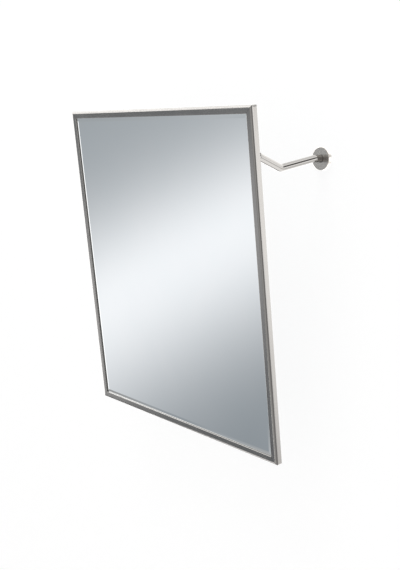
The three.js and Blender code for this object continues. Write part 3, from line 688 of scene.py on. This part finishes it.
for word, side in SIDES.items():
    arm = tube(f"satin_tube_{word}", arm_route(), Matrix.Translation((side * ARM_X, 0, 0)))
    stand_for(arm, f"arm_tube_{word}", tube_steel)
print(f"two tubes of {len(arm.data.polygons)} faces")

# %% [markdown]
# ## Turned pieces
# Rosettes, rivets, bolts, bushes and buffers are all round. A Screw modifier could turn their
# outlines, but it couldn't make the hexagon of a nut or a socket in the same piece. So each
# outline is a list of (radius, height) points, turned about the height by a formula. Brushing
# on a turned piece runs in circles, so its grain depends on radius and height alone.

# %% Turning
TURNED_SIDES = 96
SMALL_SIDES = 48
SIXTH = math.pi / 3


def ring_radius(ring, angle):
    """Radius of a ring at an angle. A third number makes it a hexagon with its corners cut."""
    if len(ring) == 2:
        return ring[0]
    from_flat = (angle + SIXTH / 2) % SIXTH - SIXTH / 2
    return min(ring[0] / math.cos(from_flat), ring[2])


def turned_piece(name, outline, matrix, sides=TURNED_SIDES):
    """A body turned about its own y from (radius, y) points, which close on themselves."""
    points, grain = [], []
    for ring in outline:
        for k in range(sides):
            angle = 2 * math.pi * k / sides
            radius = ring_radius(ring, angle)
            points.append((radius * math.cos(angle), ring[1], radius * math.sin(angle)))
            grain.append((0, radius, ring[1]))
    faces = []
    for ring in range(len(outline)):
        for k in range(sides):
            here, beside = ring * sides + k, ring * sides + (k + 1) % sides
            ahead = ((ring + 1) % len(outline) - ring) * sides
            faces.append((here, beside, beside + ahead, here + ahead))
    return make(name, points, faces, matrix, grain)


print(f"turned pieces of {TURNED_SIDES} or {SMALL_SIDES} sides")

# %% [markdown]
# The rosette is a shallow spun cup that hides the wall plate and its screws. A plain disc would
# do from the front. The cup is drawn with its inside too, since from behind the wall the view
# goes into it. Its edge is rounded by the spinning, and its rim stands a hair off the wall.

# %% Rosettes
ROSETTE_RADIUS = 20.0 * MM
ROSETTE_DEPTH = 6.8 * MM
ROSETTE_SHEET = 1.0 * MM
ROSETTE_EDGE = 1.2 * MM
ROSETTE_LIFT = 0.3 * MM
ROSETTE_HOLE = TUBE_RADIUS + 0.3 * MM
EDGE_STEPS = 8


def rosette_outline():
    """Outside of the cup from the tube's hole to the rim, then back along the inside."""
    centre = (ROSETTE_RADIUS - ROSETTE_EDGE, ROSETTE_EDGE - ROSETTE_DEPTH)
    back = ROSETTE_SHEET - ROSETTE_DEPTH
    return [
        (ROSETTE_HOLE, EDGE_BREAK - ROSETTE_DEPTH),
        (ROSETTE_HOLE + EDGE_BREAK, -ROSETTE_DEPTH),
        *arc(centre, ROSETTE_EDGE, -1, 0, EDGE_STEPS),
        (ROSETTE_RADIUS, -ROSETTE_LIFT),
        (ROSETTE_RADIUS - ROSETTE_SHEET, -ROSETTE_LIFT),
        *arc(centre, ROSETTE_EDGE - ROSETTE_SHEET, 0, -1, EDGE_STEPS),
        (ROSETTE_HOLE, back),
    ]


for word, side in SIDES.items():
    place = Matrix.Translation((side * ARM_X, 0, 0))
    cover = turned_piece(f"spun_rosette_{word}", rosette_outline(), place)
    # The cup takes the steel that is painted lighter, a painted highlight.
    stand_for(cover, f"cover_rosette_{word}", spun_steel_painted_lighter)
print(f"two rosettes, {2 * ROSETTE_RADIUS / MM:.0f} mm across")

# %% [markdown]
# ## The glass
# The mirror is 4 mm float glass with a narrow polished bevel, silvered on the back. A Bevel
# modifier would cut as deep as it cuts wide, and this bevel is much wider than it is deep, so
# it is built from rings of four corners. It leans so little that it has to be kept from
# blending into the flat: a low angle for `sharp` keeps each facet flat, as a polished one is.
# A tiny arris runs round the rim.

# %% Glass with its bevel
BEVEL_SHOW = 6.5 * MM
BEVEL_DROP = 1.0 * MM
ARRIS = 0.4 * MM
FLAT_FACETS = math.radians(1)


def glass_sheet(name):
    """From the flat field out over the bevel and round to the back."""
    low, high = box_in(panel, "mirror_glass")
    middle = (low + high) / 2
    half = (high - low) / 2
    bevel = FACE_WIDTH + BEVEL_SHOW - (WIDTH / 2 - half.x)
    rings = [
        (bevel, low.y),
        (ARRIS, low.y + BEVEL_DROP * (1 - ARRIS / bevel)),
        (0, low.y + BEVEL_DROP + ARRIS),
        (0, high.y - ARRIS),
        (ARRIS, high.y),
    ]
    points = [
        (middle.x + sx * (half.x - inset), depth, middle.z + sz * (half.z - inset))
        for inset, depth in rings
        for sx, sz in ((-1, -1), (1, -1), (1, 1), (-1, 1))
    ]
    faces = [(0, 1, 2, 3), tuple(4 * len(rings) - 1 - i for i in range(4))]
    for ring in range(len(rings) - 1):
        for i in range(4):
            here, after = 4 * ring + i, 4 * ring + (i + 1) % 4
            faces.append((here, after, after + 4, here + 4))
    return make(name, points, faces, panel, sharp=FLAT_FACETS)


glass = stand_for(glass_sheet("silvered_glass"), "mirror_glass", silver)
print(f"glass of {len(glass.data.polygons)} faces")

# %% [markdown]
# ## Softened edges
# The clevis brackets, and the eyes that they turn on, are cut and bent metal. Their shape in
# the frame is right and could stay, but every real edge is broken a little, and that thin line
# of light is what makes metal look real. The mesh is copied, the triangles on each flat are
# joined, and a Bevel modifier rounds the edges that are left.

# %% Copies with softened edges
BRACKET_EDGE = 0.45 * MM
EYE_EDGE = 0.3 * MM
EDGE_SEGMENTS = 3
FLAT_ANGLE = math.radians(1)


def softened(name, node, radius, material):
    """A copy of a node, with its edges rounded by a radius, takes its place."""
    mesh = nodes[node].data.copy()
    mesh.name = name
    grain = mesh.attributes.new("grain", "FLOAT_VECTOR", "POINT")
    places = [vertex.co for vertex in mesh.vertices]
    grain.data.foreach_set("vector", [value for co in places for value in (co.z, co.x, co.y)])
    work = bmesh.new()
    work.from_mesh(mesh)
    bmesh.ops.remove_doubles(work, verts=work.verts, dist=SAME_POINT)
    bmesh.ops.dissolve_limit(work, angle_limit=FLAT_ANGLE, verts=work.verts, edges=work.edges)
    work.to_mesh(mesh)
    work.free()
    piece = bpy.data.objects.new(name, mesh)
    bpy.context.scene.collection.objects.link(piece)
    bevel = piece.modifiers.new("broken edges", "BEVEL")
    bevel.width = radius
    bevel.segments = EDGE_SEGMENTS
    bevel.limit_method = "ANGLE"
    bevel.angle_limit = SHARP_EDGE
    smooth(piece)
    stand_for(piece, node, material)


for word in SIDES:
    softened(f"clevis_{word}", f"pivot_bracket_{word}", BRACKET_EDGE, frame_steel)
    softened(f"tongue_eye_{word}", f"arm_eye_{word}", EYE_EDGE, tube_steel)
print("brackets and eyes softened")

# %% [markdown]
# ## Rivets
# Four domed rivets hold the brackets to the back plate. A squashed sphere would pass for a
# dome, but a real rivet has a flat foot, a shank between two heads and a crisp rim, and its
# outline is no more work. The dome is a quarter of an ellipse.

# %% Rivets
def turned_to(direction):
    """A turn that takes y to a direction."""
    return Vector((0, 1, 0)).rotation_difference(Vector(direction)).to_matrix().to_4x4()


def axis_to(place, direction):
    """A matrix that puts y along a direction of the mirror, at one of its places."""
    return panel @ Matrix.Translation(place) @ turned_to(direction)


def standing_place(node):
    """A matrix at the foot of a part that stands square to the mirror, its width and height."""
    low, high = box_in(panel, node)
    foot = ((low.x + high.x) / 2, low.y, (low.z + high.z) / 2)
    return axis_to(foot, (0, 1, 0)), high.x - low.x, high.y - low.y


RIVET_RADIUS = 2.0 * MM
RIVET_HEAD_RADIUS = 3.9 * MM
RIVET_DOME = 1.8 * MM
RIVET_FOOT = 0.5 * MM


def rivet_outline(length):
    """From the flat foot to the top of the dome."""
    dome = [
        (RIVET_HEAD_RADIUS * math.cos(a), length - RIVET_DOME * (1 - math.sin(a)))
        for a in (math.pi / 2 * step / EDGE_STEPS for step in range(EDGE_STEPS))
    ]
    return [
        (0, 0), (RIVET_HEAD_RADIUS - EDGE_BREAK, 0), (RIVET_HEAD_RADIUS, EDGE_BREAK),
        (RIVET_HEAD_RADIUS, RIVET_FOOT), (RIVET_RADIUS, RIVET_FOOT),
        (RIVET_RADIUS, length - RIVET_DOME), *dome, (0, length),
    ]


for word in SIDES:
    for end in ("upper", "lower"):
        node = f"bracket_rivet_{word}_{end}"
        place, _, height = standing_place(node)
        rivet = turned_piece(f"rivet_{word}_{end}", rivet_outline(height), place, SMALL_SIDES)
        stand_for(rivet, node, zinc_fastener)
print("four rivets")

# %% [markdown]
# ## Pivot bolts
# A bolt through each bracket and eye is the mirror's pivot. It has a low domed head with a
# hexagonal socket, and a thread at its tip. The thread could be a true helix, but its pitch is
# too fine to tell that from rings, which an outline can hold.

# %% Outline of a bolt
BOLT_RADIUS = 2.5 * MM
BOLT_LENGTH = 20.0 * MM
BOLT_HEAD_RADIUS = 4.75 * MM
BOLT_HEAD_HEIGHT = 2.75 * MM
HEAD_SWEEP = 0.78
BOLT_SOCKET = 1.5 * MM
BOLT_SOCKET_DEPTH = 1.8 * MM
THREAD_PITCH = 0.8 * MM
THREAD_DEPTH = 0.35 * MM
THREAD_TURNS = 9
NO_CUT = 1


def bolt_outline():
    """From the tip over the thread and the shank to the domed head and its socket."""
    thread = []
    for turn in range(THREAD_TURNS):
        start = -BOLT_LENGTH + THREAD_DEPTH + THREAD_PITCH * turn
        thread += [(BOLT_RADIUS - THREAD_DEPTH, start), (BOLT_RADIUS, start + THREAD_PITCH / 2)]
    dome = [
        (BOLT_HEAD_RADIUS * math.cos(a), BOLT_HEAD_HEIGHT * math.sin(a))
        for a in (math.pi / 2 * step / EDGE_STEPS * HEAD_SWEEP for step in range(EDGE_STEPS + 1))
    ]
    floor_height = BOLT_HEAD_HEIGHT - BOLT_SOCKET_DEPTH
    return [
        (0, -BOLT_LENGTH), (BOLT_RADIUS - 2 * THREAD_DEPTH, -BOLT_LENGTH), *thread,
        (BOLT_RADIUS, 0), *dome,
        (BOLT_SOCKET + EDGE_BREAK, BOLT_HEAD_HEIGHT),
        (BOLT_SOCKET, BOLT_HEAD_HEIGHT - EDGE_BREAK, NO_CUT), (BOLT_SOCKET, floor_height, NO_CUT),
        (0, floor_height - EDGE_BREAK),
    ]


print(f"bolt outline of {len(bolt_outline())} rings")

# %% [markdown]
# ## Spring washers and lock nuts
# A cupped spring washer under the lock nut keeps a steady pressure on the bushes, which gives
# the tilt its friction. A flat ring and a plain hexagon would pass from afar. From close by a
# real nut's hexagon is cut by a cone, so its corners show a curved chamfer, and a round collar
# holds its locking ring.

# %% Outlines of a spring washer and a nut
BOLT_HOLE = 2.65 * MM
SPRING_RADIUS = 5.0 * MM
SPRING_HEIGHT = 1.0 * MM
SPRING_SHEET = 0.5 * MM
NUT_FLAT = 4.0 * MM
NUT_HEX = 3.5 * MM
NUT_CORNER = 4.45 * MM
NUT_CUT = 0.35 * MM
NUT_COLLAR = 1.5 * MM
NUT_COLLAR_WALL = 0.9 * MM


def spring_outline():
    """A shallow cone of sheet."""
    rise = SPRING_HEIGHT - SPRING_SHEET
    return [
        (BOLT_HOLE, rise), (SPRING_RADIUS, 0), (SPRING_RADIUS, SPRING_SHEET),
        (BOLT_HOLE, SPRING_HEIGHT),
    ]


def nut_outline():
    """A hexagon whose corners a cone has cut, and the round collar of the locking ring."""
    top = NUT_HEX + NUT_COLLAR
    collar = BOLT_HOLE + NUT_COLLAR_WALL
    return [
        (BOLT_HOLE + EDGE_BREAK, 0), (NUT_FLAT, 0, NUT_FLAT - EDGE_BREAK),
        (NUT_FLAT, NUT_CUT, NUT_CORNER + NUT_CUT),
        (NUT_FLAT, NUT_HEX - NUT_CUT, NUT_CORNER + NUT_CUT),
        (NUT_FLAT, NUT_HEX, NUT_FLAT - EDGE_BREAK),
        (collar, NUT_HEX), (collar, top - EDGE_BREAK), (collar - EDGE_BREAK, top),
        (BOLT_HOLE + EDGE_BREAK, top), (BOLT_HOLE, top - EDGE_BREAK),
        (BOLT_HOLE, EDGE_BREAK),
    ]


print(f"washer of {len(spring_outline())} rings, nut of {len(nut_outline())}")

# %% [markdown]
# The three fasteners of a pivot lie on one line, so they are placed together, from the outer
# end that the frame gives for each. Heights on the bolt count outward from under its head, and
# those on the washer and the nut count inward from their outer end.

# %% Place the bolts, washers and nuts
for word, side in SIDES.items():
    kinds = {
        f"pivot_bolt_{word}": (bolt_outline(), side, BOLT_HEAD_HEIGHT, SMALL_SIDES),
        f"spring_washer_{word}": (spring_outline(), -side, 0, TURNED_SIDES),
        f"lock_nut_{word}": (nut_outline(), -side, 0, TURNED_SIDES),
    }
    for node, (outline, sign, head, sides) in kinds.items():
        low, high = box_in(panel, node)
        outer = high.x if side > 0 else low.x
        place = (outer - sign * head, (low.y + high.y) / 2, (low.z + high.z) / 2)
        turned_part = turned_piece(f"turned_{node}", outline, axis_to(place, (sign, 0, 0)), sides)
        stand_for(turned_part, node, zinc_fastener)
print("bolts, spring washers and lock nuts")

# %% [markdown]
# ## Bushes
# Two flanged nylon bushes line each eye, so that steel never turns on steel. Little of them
# shows, and the frame's own mesh would nearly do, but the flange's edge lies right beside the
# bright bracket. A short outline gives it the small radii of a moulded part.

# %% Bushes
BUSH_SLEEVE = BOLT_HOLE + 1.0 * MM
BUSH_FLANGE_RADIUS = 7.0 * MM
BUSH_FLANGE = 0.8 * MM


def bush_outline(length):
    """Sleeve from its inner end to its flange, with the mould's small radii."""
    flange = length - BUSH_FLANGE
    return [
        (BOLT_HOLE, 0), (BUSH_SLEEVE - EDGE_BREAK, 0), (BUSH_SLEEVE, EDGE_BREAK),
        (BUSH_SLEEVE, flange), (BUSH_FLANGE_RADIUS, flange),
        (BUSH_FLANGE_RADIUS, length - EDGE_BREAK), (BUSH_FLANGE_RADIUS - EDGE_BREAK, length),
        (BOLT_HOLE + EDGE_BREAK, length), (BOLT_HOLE, length - EDGE_BREAK),
    ]


for word, side in SIDES.items():
    for layer, sign in (("outer", side), ("inner", -side)):
        node = f"pivot_bush_{word}_{layer}"
        low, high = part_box(node)
        inner = low.x if sign > 0 else high.x
        place = Matrix.Translation((inner, pivot.y, pivot.z)) @ turned_to((sign, 0, 0))
        outline = bush_outline(high.x - low.x)
        bush = turned_piece(f"nylon_bush_{word}_{layer}", outline, place)
        stand_for(bush, node, nylon)
print("four bushes")

# %% [markdown]
# ## Wall buffers
# Two rubber pads meet the wall when the mirror is tilted as far as it goes. A plain cylinder
# would look like a cut rod; a moulded pad has a well rounded free edge, and a dimple where its
# pin was moulded in.

# %% Buffers
BUFFER_EDGE = 3.0 * MM
DIMPLE_RADIUS = 2.2 * MM
DIMPLE_TAPER = 0.8
DIMPLE_DEPTH = 3 * EDGE_BREAK


def buffer_outline(radius, height):
    """A pad with a rounded free edge and a small dimple."""
    dimple_floor = height - DIMPLE_DEPTH
    return [
        (0, 0), (radius - EDGE_BREAK, 0), (radius, EDGE_BREAK),
        *arc((radius - BUFFER_EDGE, height - BUFFER_EDGE), BUFFER_EDGE, 0, 1, EDGE_STEPS),
        (DIMPLE_RADIUS + EDGE_BREAK, height), (DIMPLE_RADIUS, height - EDGE_BREAK),
        (DIMPLE_RADIUS * DIMPLE_TAPER, dimple_floor), (0, dimple_floor),
    ]


for word in SIDES:
    node = f"wall_buffer_{word}"
    place, width, height = standing_place(node)
    pad = turned_piece(f"rubber_buffer_{word}", buffer_outline(width / 2, height), place)
    stand_for(pad, node, rubber)
print("two buffers")

# %% [markdown]
# ## Pieces that stay as they are
# The back plate, foam, corner keys, wall plates, plugs, screws and pins are flat or hidden. They
# could be made again as the others were, but nothing would show for it, so they keep the
# frame's own mesh and only take their finish.

# %% Finish the remaining nodes
slot_finish = {
    "satin_steel": frame_steel,
    "mirror_silver": silver,
    "zinc_sheet": zinc_sheet,
    "zinc_fastener": zinc_fastener,
    "grey_foam": foam,
    "black_rubber": rubber,
    "white_nylon": nylon,
}
for name, node in nodes.items():
    node.data.materials.clear()
    node.data.materials.append(slot_finish[node_slot[name]])
print(f"{sum(not node.hide_render for node in nodes.values())} nodes show as they are")

# %% [markdown]
# ## The room
# The mirror hangs on a white wall over a pale floor. Strong lamps could bring both up to white,
# but would burn out the steel in front of them. So they glow white to the camera alone, and
# add a little of their real shading so that shadows stay. Metal and glass look past them to
# the studio that the world describes, and the wall's back is clear, so it never hides the
# mirror.

# %% Floor and wall
HALF_ROOM = 3.0
FLOOR_DROP = 1.45
WALL_TOP = 2.0
WALL_GAP = 1.0 * MM
FLOOR_GLOW = 0.875
WALL_GLOW = 0.84
SHADE = (0.25, 0.25, 0.25, 1)
WHITE_PAINT = (0.86, 0.86, 0.86, 1)


def white_stage(name, corners, glow):
    """A flat that glows white to the camera and adds a share of its shading."""
    mesh = bpy.data.meshes.new(name)
    mesh.from_pydata(corners, [], [(0, 1, 2, 3)])
    flat = bpy.data.objects.new(name, mesh)
    bpy.context.scene.collection.objects.link(flat)
    material, tree, shader = new_material(f"{name} white", Base_Color=WHITE_PAINT, Roughness=0.9)
    ray = add(tree, "ShaderNodeLightPath").outputs["Is Camera Ray"]
    glowing = add(tree, "ShaderNodeEmission", Strength=glow).outputs[0]
    faint = add(tree, "ShaderNodeBsdfDiffuse", Color=SHADE).outputs[0]
    seen = add(tree, "ShaderNodeAddShader", n0=glowing, n1=faint).outputs[0]
    lit = add(tree, "ShaderNodeMixShader", n0=ray, n1=shader.outputs[0], n2=seen).outputs[0]
    behind = add(tree, "ShaderNodeNewGeometry").outputs["Backfacing"]
    clear = add(tree, "ShaderNodeBsdfTransparent").outputs[0]
    shown = add(tree, "ShaderNodeMixShader", n0=behind, n1=lit, n2=clear).outputs[0]
    tree.links.new(shown, tree.nodes["Material Output"].inputs["Surface"])
    mesh.materials.append(material)
    flat.visible_glossy = False


near, far = -HALF_ROOM, HALF_ROOM
floor_corners = [(near, near), (far, near), (far, far), (near, far)]
white_stage("floor", [(x, y, -FLOOR_DROP) for x, y in floor_corners], FLOOR_GLOW)
wall_corners = [(near, -FLOOR_DROP), (far, -FLOOR_DROP), (far, WALL_TOP), (near, WALL_TOP)]
white_stage("wall", [(x, WALL_GAP, z) for x, z in wall_corners], WALL_GLOW)
print(f"floor {FLOOR_DROP} m down, wall {WALL_GAP / MM:.0f} mm behind the plates")

# %% [markdown]
# ## The light
# Metal shows little but what it reflects. The lamps and screens of a studio could be modelled
# as glowing cards, but each would have to be hidden from the camera and kept clear of the
# mirror's tilt. So the world is the studio: a view direction is split into x, y and z, and
# every lamp or screen is a soft mask over those numbers, laid over the ones before it.

# %% World helpers
world = bpy.data.worlds.new("studio")
bpy.context.scene.world = world
world.use_nodes = True
sky = world.node_tree
sky.nodes.clear()
view = add(sky, "ShaderNodeTexCoord").outputs["Generated"]
view_x, view_y, view_z = add(sky, "ShaderNodeSeparateXYZ", Vector=view).outputs
WARM = (1.0, 0.995, 0.985)


def along(direction):
    """How far each view direction points along another."""
    towards = Vector(direction).normalized()
    dot = add(sky, "ShaderNodeVectorMath", {"operation": "DOT_PRODUCT"}, n0=view, n1=towards)
    return dot.outputs["Value"]


def edge(value, start, stop):
    """A mask that rises smoothly from 0 at one value to 1 at another."""
    rise = add(
        sky, "ShaderNodeMapRange", {"interpolation_type": "SMOOTHSTEP"},
        Value=value, From_Min=start, From_Max=stop,
    )
    return rise.outputs["Result"]


def both(first, second):
    """Where two masks are bright."""
    return math_node(sky, "MULTIPLY", first, second)


def warm(level):
    """A level of slightly warm white."""
    return tuple(level * part for part in WARM)


def over(mask, below, light):
    """One light laid over another by a mask. A light is a colour or a link."""
    mix = add(sky, "ShaderNodeMix", {"data_type": "RGBA", "clamp_result": False}, Factor=mask)
    for slot, colour in ((6, below), (7, light)):
        if isinstance(colour, bpy.types.NodeSocket):
            sky.links.new(colour, mix.inputs[slot])
        else:
            mix.inputs[slot].default_value = (*colour, 1)
    return mix.outputs[2]


print(f"{world.name}: warm white {WARM}")

# %% [markdown]
# The glass sees one broad strip lamp, low in front, between a darker floor and a pale window
# above. A lamp with hard edges would show as a stripe, where the photograph shows one soft
# glow, so the light falls off like a bell across the strip, a little slower downwards. A small
# card, just past what the flat glass can see, lights the bevel and the frame below it.

# %% World: what the glass sees
BAND_AXIS = (0.0, 0.342, 0.940)
BAND_HEIGHT = -0.4385
BAND_WIDTH = 0.083
BAND_SLOWER = 0.018
BAND_LEAN = 0.041
FRONT_LOW = (0.251, 0.277, 0.300)
FRONT_HIGH = (0.361, 0.386, 0.407)
ABOVE_LEFT = (0.355, 0.375, 0.390)
ABOVE_RIGHT = (0.530, 0.550, 0.565)
FRONT_PEAK = (0.950, 0.958, 0.976)
UNDER_BAND = warm(0.42)
CARD_SLOPE = 0.958
BEVEL_CARD = warm(2.4)

view_s = along(BAND_AXIS)
beside = edge(view_x, -0.71, -0.66)
height = math_node(sky, "MULTIPLY_ADD", beside, BAND_LEAN, view_s)
offset = math_node(sky, "SUBTRACT", height, BAND_HEIGHT)
under = math_node(sky, "LESS_THAN", offset, 0.0)
width = math_node(sky, "MULTIPLY_ADD", under, BAND_SLOWER, BAND_WIDTH)
ratio = math_node(sky, "DIVIDE", offset, width)
square = math_node(sky, "MULTIPLY", ratio, ratio)
bell = math_node(sky, "EXPONENT", math_node(sky, "MULTIPLY", square, -1.0))
window = over(edge(view_s, -0.56, -0.30), FRONT_LOW, FRONT_HIGH)
above = over(edge(view_x, -0.86, -0.70), ABOVE_LEFT, ABOVE_RIGHT)
window = over(edge(view_s, -0.285, -0.245), window, above)
window = over(edge(view_s, -0.64, -0.70), window, UNDER_BAND)
window = over(bell, window, FRONT_PEAK)
slant = math_node(sky, "MULTIPLY_ADD", view_x, CARD_SLOPE, view_s)
card = both(edge(slant, -1.330, -1.355), edge(slant, -1.435, -1.405))
window = over(both(card, edge(view_x, -0.88, -0.72)), window, BEVEL_CARD)
print(f"strip lamp at {BAND_HEIGHT}, {BAND_WIDTH} to each side")

# %% [markdown]
# The bends of the frame are narrow, and each sweeps over a wide part of the room. One even
# light would leave them flat, so cards stand round the front: grey across the middle, a bright
# one far to the right, one high on the left for the top edge, and one far to the left that
# draws a thin white line along the glass's left bevel. The floor is darkest straight below.

# %% World: in front and to the left
FILL = warm(0.60)
LOW_CARD = warm(2.6)
MIDDLE = warm(0.85)
DIM_RIGHT = warm(0.45)
RIGHT_CARD = warm(2.4)
TOP_CARD = warm(3.2)
LEFT_CARD = warm(1.5)
LEFT_LINE = warm(3.4)
LEFT_FOOT = warm(0.30)
FLOOR_FRONT = warm(0.90)
FLOOR_UNDER = warm(0.40)

low_card = both(edge(view_s, -0.60, -0.68), edge(view_x, -0.38, -0.48))
front = over(low_card, FILL, LOW_CARD)
front = over(edge(view_x, -0.30, 0.0), front, MIDDLE)
front = over(edge(view_x, 0.30, 0.60), front, DIM_RIGHT)
front = over(edge(view_x, -0.61, -0.53), window, front)
front = over(edge(view_x, 0.94, 0.98), front, RIGHT_CARD)
high_left = both(edge(view_z, 0.01, 0.10), edge(view_x, -0.25, -0.45))
front = over(both(high_left, edge(view_y, -0.63, -0.55)), front, TOP_CARD)
left = over(edge(view_y, -0.32, -0.20), LEFT_CARD, LEFT_LINE)
left = over(edge(view_z, -0.385, -0.42), left, LEFT_FOOT)
front = over(both(edge(view_x, -0.70, -0.78), edge(view_y, -0.44, -0.385)), front, left)
floor_light = over(edge(view_s, -0.84, -0.95), FLOOR_FRONT, FLOOR_UNDER)
front = over(edge(view_s, -0.74, -0.80), front, floor_light)
print(f"front of {len(sky.nodes)} nodes")

# %% [markdown]
# Everything that faces the wall's side of the room sees the back of the studio. On the right is
# a bright card, weaker halfway down and bright again at its foot, which lights the frame's side
# and the tubes. A small dark screen in it draws the dark line along each tube between the wall
# and the elbow. On the left is a card with a dark foot and a softer light above it, and
# overhead is a pale ceiling.

# %% World: behind and overhead
RIGHT_BACK = warm(2.4)
RIGHT_WEAK = warm(1.15)
RIGHT_FOOT = warm(2.3)
DARK_SCREEN = warm(0.20)
SCREEN_WAY = (0.77, 0.52, 0.37)
LEFT_BACK = warm(3.0)
LEFT_DARK = warm(0.40)
LEFT_HIGH = warm(1.7)
CEILING = warm(1.6)

right_back = over(edge(view_z, -0.10, -0.50), RIGHT_BACK, RIGHT_WEAK)
right_back = over(edge(view_z, -0.50, -0.60), right_back, RIGHT_FOOT)
right_back = over(edge(along(SCREEN_WAY), 0.93, 0.965), right_back, DARK_SCREEN)
left_back = over(edge(view_z, -0.45, -0.55), LEFT_BACK, LEFT_DARK)
left_back = over(edge(view_z, 0.03, 0.12), left_back, LEFT_HIGH)
rear = over(edge(view_x, -0.50, -0.25), left_back, right_back)
light = over(edge(view_y, -0.05, 0.12), front, rear)
light = over(edge(view_z, 0.66, 0.86), light, CEILING)
print(f"world of {len(sky.nodes)} nodes")

# %% [markdown]
# The studio is for the metal and the glass. The camera itself sees plain white past the
# mirror, and matt surfaces get an even light, so that their shadows stay soft. Light Path tells
# these rays apart.

# %% World: which ray sees what
PLAIN_WHITE = (1, 1, 1, 1)
MATT_LIGHT = 0.6

path = add(sky, "ShaderNodeLightPath")
for_metal = add(sky, "ShaderNodeBackground", Strength=1.0)
sky.links.new(light, for_metal.inputs["Color"])
for_camera = add(sky, "ShaderNodeBackground", Color=PLAIN_WHITE, Strength=1.0)
for_matt = add(sky, "ShaderNodeBackground", Color=PLAIN_WHITE, Strength=MATT_LIGHT)
not_camera = add(
    sky, "ShaderNodeMixShader",
    n0=path.outputs["Is Glossy Ray"], n1=for_matt.outputs[0], n2=for_metal.outputs[0],
)
seen = add(
    sky, "ShaderNodeMixShader",
    n0=path.outputs["Is Camera Ray"], n1=not_camera.outputs[0], n2=for_camera.outputs[0],
)
add(sky, "ShaderNodeOutputWorld", Surface=seen.outputs[0])
print("camera, metal and matt surfaces each have their light")

# %% [markdown]
# An even sky alone gives no direction to a shadow. A large lamp high in front adds the soft
# shadow under each rosette. A sun would cast a hard one. Metal doesn't see the lamp, since its
# reflections are set by the studio.

# %% Lamp
LAMP_PLACE = Vector((0.2, -1.2, 2.2))
LAMP_TARGET = Vector((0, 0, -0.1))
LAMP_SIZE = 1.2
LAMP_WATTS = 14

lamp_data = bpy.data.lights.new("high lamp", "AREA")
lamp_data.size = LAMP_SIZE
lamp_data.energy = LAMP_WATTS
lamp = bpy.data.objects.new("high lamp", lamp_data)
lamp.location = LAMP_PLACE
lamp.rotation_euler = (LAMP_TARGET - LAMP_PLACE).to_track_quat("-Z", "Y").to_euler()
lamp.visible_glossy = False
bpy.context.scene.collection.objects.link(lamp)
print(f"lamp of {LAMP_WATTS} W, {LAMP_SIZE} m wide")

# %% [markdown]
# ## Finish
# The picture is shown with the Standard view, so that white stays white.

# %% View
bpy.context.scene.view_settings.view_transform = "Standard"
